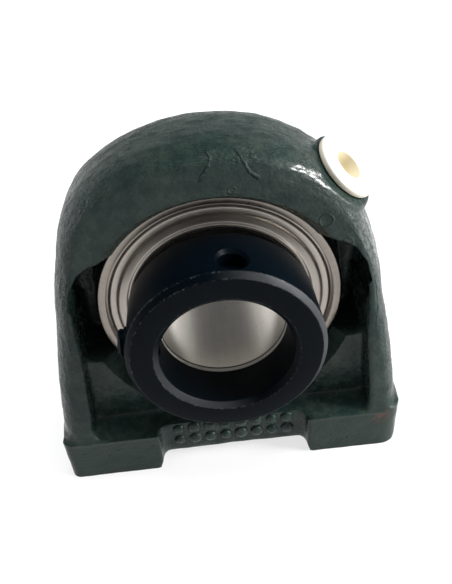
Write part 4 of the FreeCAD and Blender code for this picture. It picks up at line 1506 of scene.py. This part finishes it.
@dataclass
class ShaftRing:
    """The inner ring: ground bore, ball track and the eccentric cam at its front."""

    bore: float = 12.5
    land: float = 17.0
    track: BallTrack = BallTrack()
    rear: float = 10.3
    front: float = -13.9
    cam: float = 15.2
    cam_length: float = 4.0
    offset: float = 0.8
    chamfer: float = 0.6
    chamfer_depth: float = 0.85
    rear_chamfer: float = 0.25

    def build(self, steel: Finish) -> Piece:
        """Turn, bore and deliver the ring.

        Args:
            steel: Its finish.

        Returns:
            The delivered piece.
        """
        shoulder = self.front + self.cam_length
        points = [(0, shoulder), (self.land, shoulder), *self.track.arc(-1.0, self.land, 12),
                  (self.land, self.rear - 0.4), (self.land - 0.4, self.rear), (0, self.rear)]
        piece = turned("inner_ring_ground", points, {1: 0.3}, steps=180)
        cam = turned("cam_blank", rod(self.front, shoulder + 0.5, self.cam), {1: 0.25},
                     steps=180)
        carve(piece, lift(cam, 0.0, 0.0, self.offset), Cut.ADD)
        edge, back = self.bore + self.chamfer, self.bore + self.rear_chamfer
        front, rear = self.front, self.rear
        reamer = turned("reamer", ((0, front - 1), (edge, front - 1), (edge, front),
                                   (self.bore, front + self.chamfer_depth),
                                   (self.bore, rear - self.rear_chamfer), (back, rear),
                                   (back, rear + 1), (0, rear + 1)), steps=180)
        carve(piece, reamer)
        return deliver(to_shaft(piece), "shaft_ring", ["inner_ring"], [steel], 24.0)


@dataclass
class LockingCollar:
    """The eccentric locking collar and its set screw."""

    outer: float = 18.75
    bore: float = 12.6
    front: float = -23.4
    rear: float = -9.95
    chamfer: float = 1.0
    pit: float = 15.28
    pit_depth: float = 4.05
    offset: float = 0.8
    middle: float = -18.65
    drift_angle: float = 82.5
    drift_radius: float = 2.6
    drift_depth: float = 3.2
    screw_angle: float = 172.5
    screw_hole: float = 3.0
    screw_radius: float = 2.95
    screw_length: float = 6.0
    proud: float = 1.3
    socket: float = 1.6
    socket_depth: float = 2.6

    def build(self, black: Finish, screw: Finish) -> None:
        """Make and deliver the collar, then its screw."""
        self.collar(black)
        self.set_screw(screw)

    def collar(self, black: Finish) -> Piece:
        """The collar, counterbored for the cam and drilled twice.

        Args:
            black: Its finish.

        Returns:
            The delivered piece.
        """
        step = self.chamfer
        points = ((self.bore, self.rear), (self.bore, self.front + step),
                  (self.bore + step, self.front), (self.outer - step, self.front),
                  (self.outer, self.front + step), (self.outer, self.rear - step / 2),
                  (self.outer - step / 2, self.rear))
        rounds = {1: 0.12, 2: 0.12, 3: 0.14, 4: 0.14, 5: 0.1, 6: 0.1}
        piece = turned("locking_collar", points, rounds, steps=192)
        floor, flare = self.rear - self.pit_depth, self.pit + 0.6
        cutter = turned("pit_cutter", ((0, floor), (self.pit, floor), (self.pit, self.rear - 0.3),
                                       (flare, self.rear + 0.3), (flare, self.rear + 2),
                                       (0, self.rear + 2)), steps=180)
        carve(piece, lift(cutter, 0.0, 0.0, self.offset))
        to_shaft(piece)
        wide, deep = self.drift_radius, -self.drift_depth
        self.drill(piece, self.drift_angle, ((0, deep - 0.5), (wide, deep), (wide, -0.75)),
                   wide + 0.9)
        wide = self.screw_hole
        self.drill(piece, self.screw_angle, ((0, -8), (wide, -8), (wide, -0.5)), wide + 0.5)
        return deliver(piece, "collar", ["eccentric_collar"], [black], 30.0)

    def drill(self, piece: Piece, angle: float, bit: Sequence[Point], mouth: float) -> None:
        """Drill the collar from outside.

        Args:
            piece: The collar.
            angle: Where, in degrees about the shaft from +X towards +Z.
            bit: Outline of the bit, up to its chamfer.
            mouth: Radius of the hole's chamfer.
        """
        tool = upright("collar_drill", (*bit, (mouth, 0.15), (mouth, 2), (0, 2)), 64)
        carve(piece, move(tool, radial(angle, self.outer, self.middle)))

    def set_screw(self, finish: Finish) -> Piece:
        """The threaded set screw with its six-sided socket.

        Args:
            finish: Its finish.

        Returns:
            The delivered piece.
        """
        core, end = self.screw_radius - 0.45, -self.screw_length
        points = ((0, end), (core - 0.6, end), (core, end + 0.6), (core, -0.35),
                  (core - 0.35, 0), (0, 0))
        piece = turned("hollow_set_screw", points, {3: 0.1, 4: 0.12}, Axis.UP, 64)
        ridge = thread("screw_thread", core - 0.15, self.screw_radius, 1.0, 4.9)
        carve(piece, lift(ridge, 0.0, 0.0, end + 0.55), Cut.ADD)
        bm = bmesh.new()
        bmesh.ops.create_cone(bm, cap_ends=True, segments=6, radius1=self.socket,
                              radius2=self.socket, depth=self.socket_depth * 2)
        carve(piece, placed(bm, "hex_key"))
        move(piece, radial(self.screw_angle, self.outer + self.proud, self.middle))
        return deliver(piece, "screw", ["set_screw"], [finish])


@dataclass
class CageAndBalls:
    """The running parts between the rings, which keep their CAD forms."""

    balls: int = 9

    def dress(self, cage: Finish, ball: Finish) -> None:
        """Give the CAD nodes their finishes.

        Args:
            cage: Finish of the cage and its rivets.
            ball: Finish of the balls.
        """
        finishes = {name: cage for name in ("cage_front", "cage_rear", "cage_rivets")}
        finishes.update({f"ball_{index + 1}": ball for index in range(self.balls)})
        for name, finish in finishes.items():
            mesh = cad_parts[name].data
            if mesh.materials:
                mesh.materials[0] = finish
            else:
                mesh.materials.append(finish)
            LOG.info("%s: finished", name)


# Studio


@dataclass
class Lamp:
    """A soft lamp that looks at the bearing and stays out of the picture."""

    name: str
    place: Place
    power: float
    size: float
    tint: Colour = WHITE
    glints: bool = True

    def light(self) -> Piece:
        """Hang the lamp.

        Returns:
            The lamp.
        """
        data = bpy.data.lights.new(self.name, "AREA")
        data.shape = "DISK"
        data.size = self.size
        data.energy = self.power
        data.color = self.tint
        lamp = linked(self.name, data)
        way = Vector((0.0, 0.0, SHAFT_HEIGHT * MM)) - Vector(self.place)
        lamp.matrix_world = Matrix.Translation(self.place) @ \
            way.to_track_quat("-Z", "Y").to_matrix().to_4x4()
        lamp.visible_camera = False
        lamp.visible_glossy = self.glints
        return lamp


@dataclass
class Studio:
    """A white floor that runs out of sight, soft lamps, and the camera of the photograph."""

    floor_radius: float = 1.6
    camera_place: Place = (-0.0018, -0.1006, 0.1102)
    yaw: float = 1.87
    pitch: float = -37.15
    roll: float = -4.95
    focal_pixels: float = 580.6
    frame_pixels: float = 584.0
    sensor: float = 36.0

    def build(self) -> None:
        """Set the whole stage."""
        self.floor()
        self.world()
        for lamp in self.lamps():
            lamp.light()
        self.camera()
        bpy.context.scene.view_settings.view_transform = "Standard"

    def lamps(self) -> list[Lamp]:
        """The lamps: two bright and small from the right, and wide soft ones.

        Returns:
            The lamps, not hung yet.
        """
        return [Lamp("key_right", (0.338, -0.085, 0.255), 1.9, 0.15, (1.0, 0.99, 0.98)),
                Lamp("key_low", (0.375, -0.125, 0.125), 0.80, 0.12),
                Lamp("soft_top", (0.02, 0.06, 0.62), 3.4, 0.34, glints=False),
                Lamp("fill_left", (-0.50, 0.20, 0.14), 0.5, 0.22, (0.95, 0.98, 1.0))]

    def floor(self) -> Piece:
        """A round white floor, white to the eye and in the gloss, but still in shadow below.

        Returns:
            The floor.
        """
        bm = bmesh.new()
        bmesh.ops.create_circle(bm, cap_ends=True, segments=96, radius=self.floor_radius)
        piece = placed(bm, "floor")
        g = new_graph("white_floor")
        seen = g.rays("Is Camera Ray", "Is Glossy Ray", "Is Transmission Ray")
        place = g.node("TexCoord", output="Object")
        away = g.vector("LENGTH", {0: place}, "Value")
        white = g.mix(g.grain(place, 90.0, 2.0) * 0.1, (0.80, 0.80, 0.80), (0.76, 0.76, 0.76))
        base = g.mix(seen, white, (0.30, 0.30, 0.304))
        glow = g.clamp(0.72 + g.step(away, 0.07, 0.30) * 0.4)
        finish = g.finish(Base_Color=base, Roughness=0.9, Specular_IOR_Level=0.0,
                          Emission_Color=g.mix(seen * glow, BLACK, WHITE),
                          Emission_Strength=1.0)
        piece.data.materials.append(finish)
        return piece

    def world(self) -> None:
        """Soft light from all round: white at the horizon, dimmer overhead."""
        world = bpy.data.worlds.new("studio")
        bpy.context.scene.world = world
        g = Graph(world)
        _, _, height = g.parts(g.node("TexCoord", output="Generated"))
        overhead = g.mix(g.step(height, 0.45, 0.12), (0.15, 0.155, 0.16), (0.84, 0.85, 0.85))
        gloss = g.rays("Is Glossy Ray", "Is Transmission Ray")
        plain = g.mix(gloss, (0.22, 0.225, 0.23), overhead)
        colour = g.mix(g.rays("Is Camera Ray"), plain, WHITE)
        sky = g.node("Background", None, {"Color": colour, "Strength": 1.0})
        g.node("OutputWorld", None, {"Surface": sky}, None)

    def camera(self) -> Piece:
        """The photograph's camera.

        Returns:
            The camera.
        """
        yaw, pitch, roll = (math.radians(v) for v in (self.yaw, self.pitch, self.roll))
        ahead = Vector((math.sin(yaw) * math.cos(pitch), math.cos(yaw) * math.cos(pitch),
                        math.sin(pitch)))
        level = Vector((math.cos(yaw), -math.sin(yaw), 0.0))
        above = level.cross(ahead)
        right = math.cos(roll) * level + math.sin(roll) * above
        up = -math.sin(roll) * level + math.cos(roll) * above
        data = bpy.data.cameras.new("camera")
        data.sensor_width = self.sensor
        data.sensor_fit = "AUTO"
        data.lens = self.focal_pixels / self.frame_pixels * self.sensor
        data.clip_start = 0.001
        data.clip_end = 20.0
        camera = linked("camera", data)
        turn = Matrix((right, up, -ahead)).transposed().to_4x4()
        camera.matrix_world = Matrix.Translation(self.camera_place) @ turn
        bpy.context.scene.camera = camera
        return camera


def main() -> None:
    """Build every piece in the order of assembly."""
    logging.basicConfig(level=logging.INFO, format="%(message)s")
    enamel = CastEnamel().material()
    iron = MachinedIron().material()
    ring = GroundSteel("ring_steel", (0.31, 0.28, 0.245), (0.20, 0.18, 0.16), 0.20,
                       rings=3.0, marks=26.0).material()
    pressed = GroundSteel("shield_steel", (0.46, 0.42, 0.38), (0.32, 0.29, 0.26), 0.28,
                          rings=2.0, depth=0.004, speck=0.1).material()
    bore = GroundSteel("bore_steel", (0.66, 0.62, 0.56), (0.46, 0.43, 0.39), 0.20, rings=6.0,
                       depth=0.010, speck=0.4, marks=8.0, mouth=-13.12).material()
    cage = GroundSteel("cage_steel", (0.56, 0.53, 0.50), (0.40, 0.38, 0.36), 0.30).material()
    ball = GroundSteel("ball_steel", (0.66, 0.66, 0.67), (0.58, 0.58, 0.60), 0.08, rings=1.0,
                       depth=0.001, speck=0.0).material()
    CastHousing().build(enamel, iron)
    TransportPlug().build(MouldedWhite().material())
    InsertRings().build(ring, pressed, SealRubber().material())
    CageAndBalls().dress(cage, ball)
    ShaftRing().build(bore)
    LockingCollar().build(BlackOxide().material(), BlackOxide(front=NOWHERE).material())
    Studio().build()


if __name__ == "__main__":
    main()
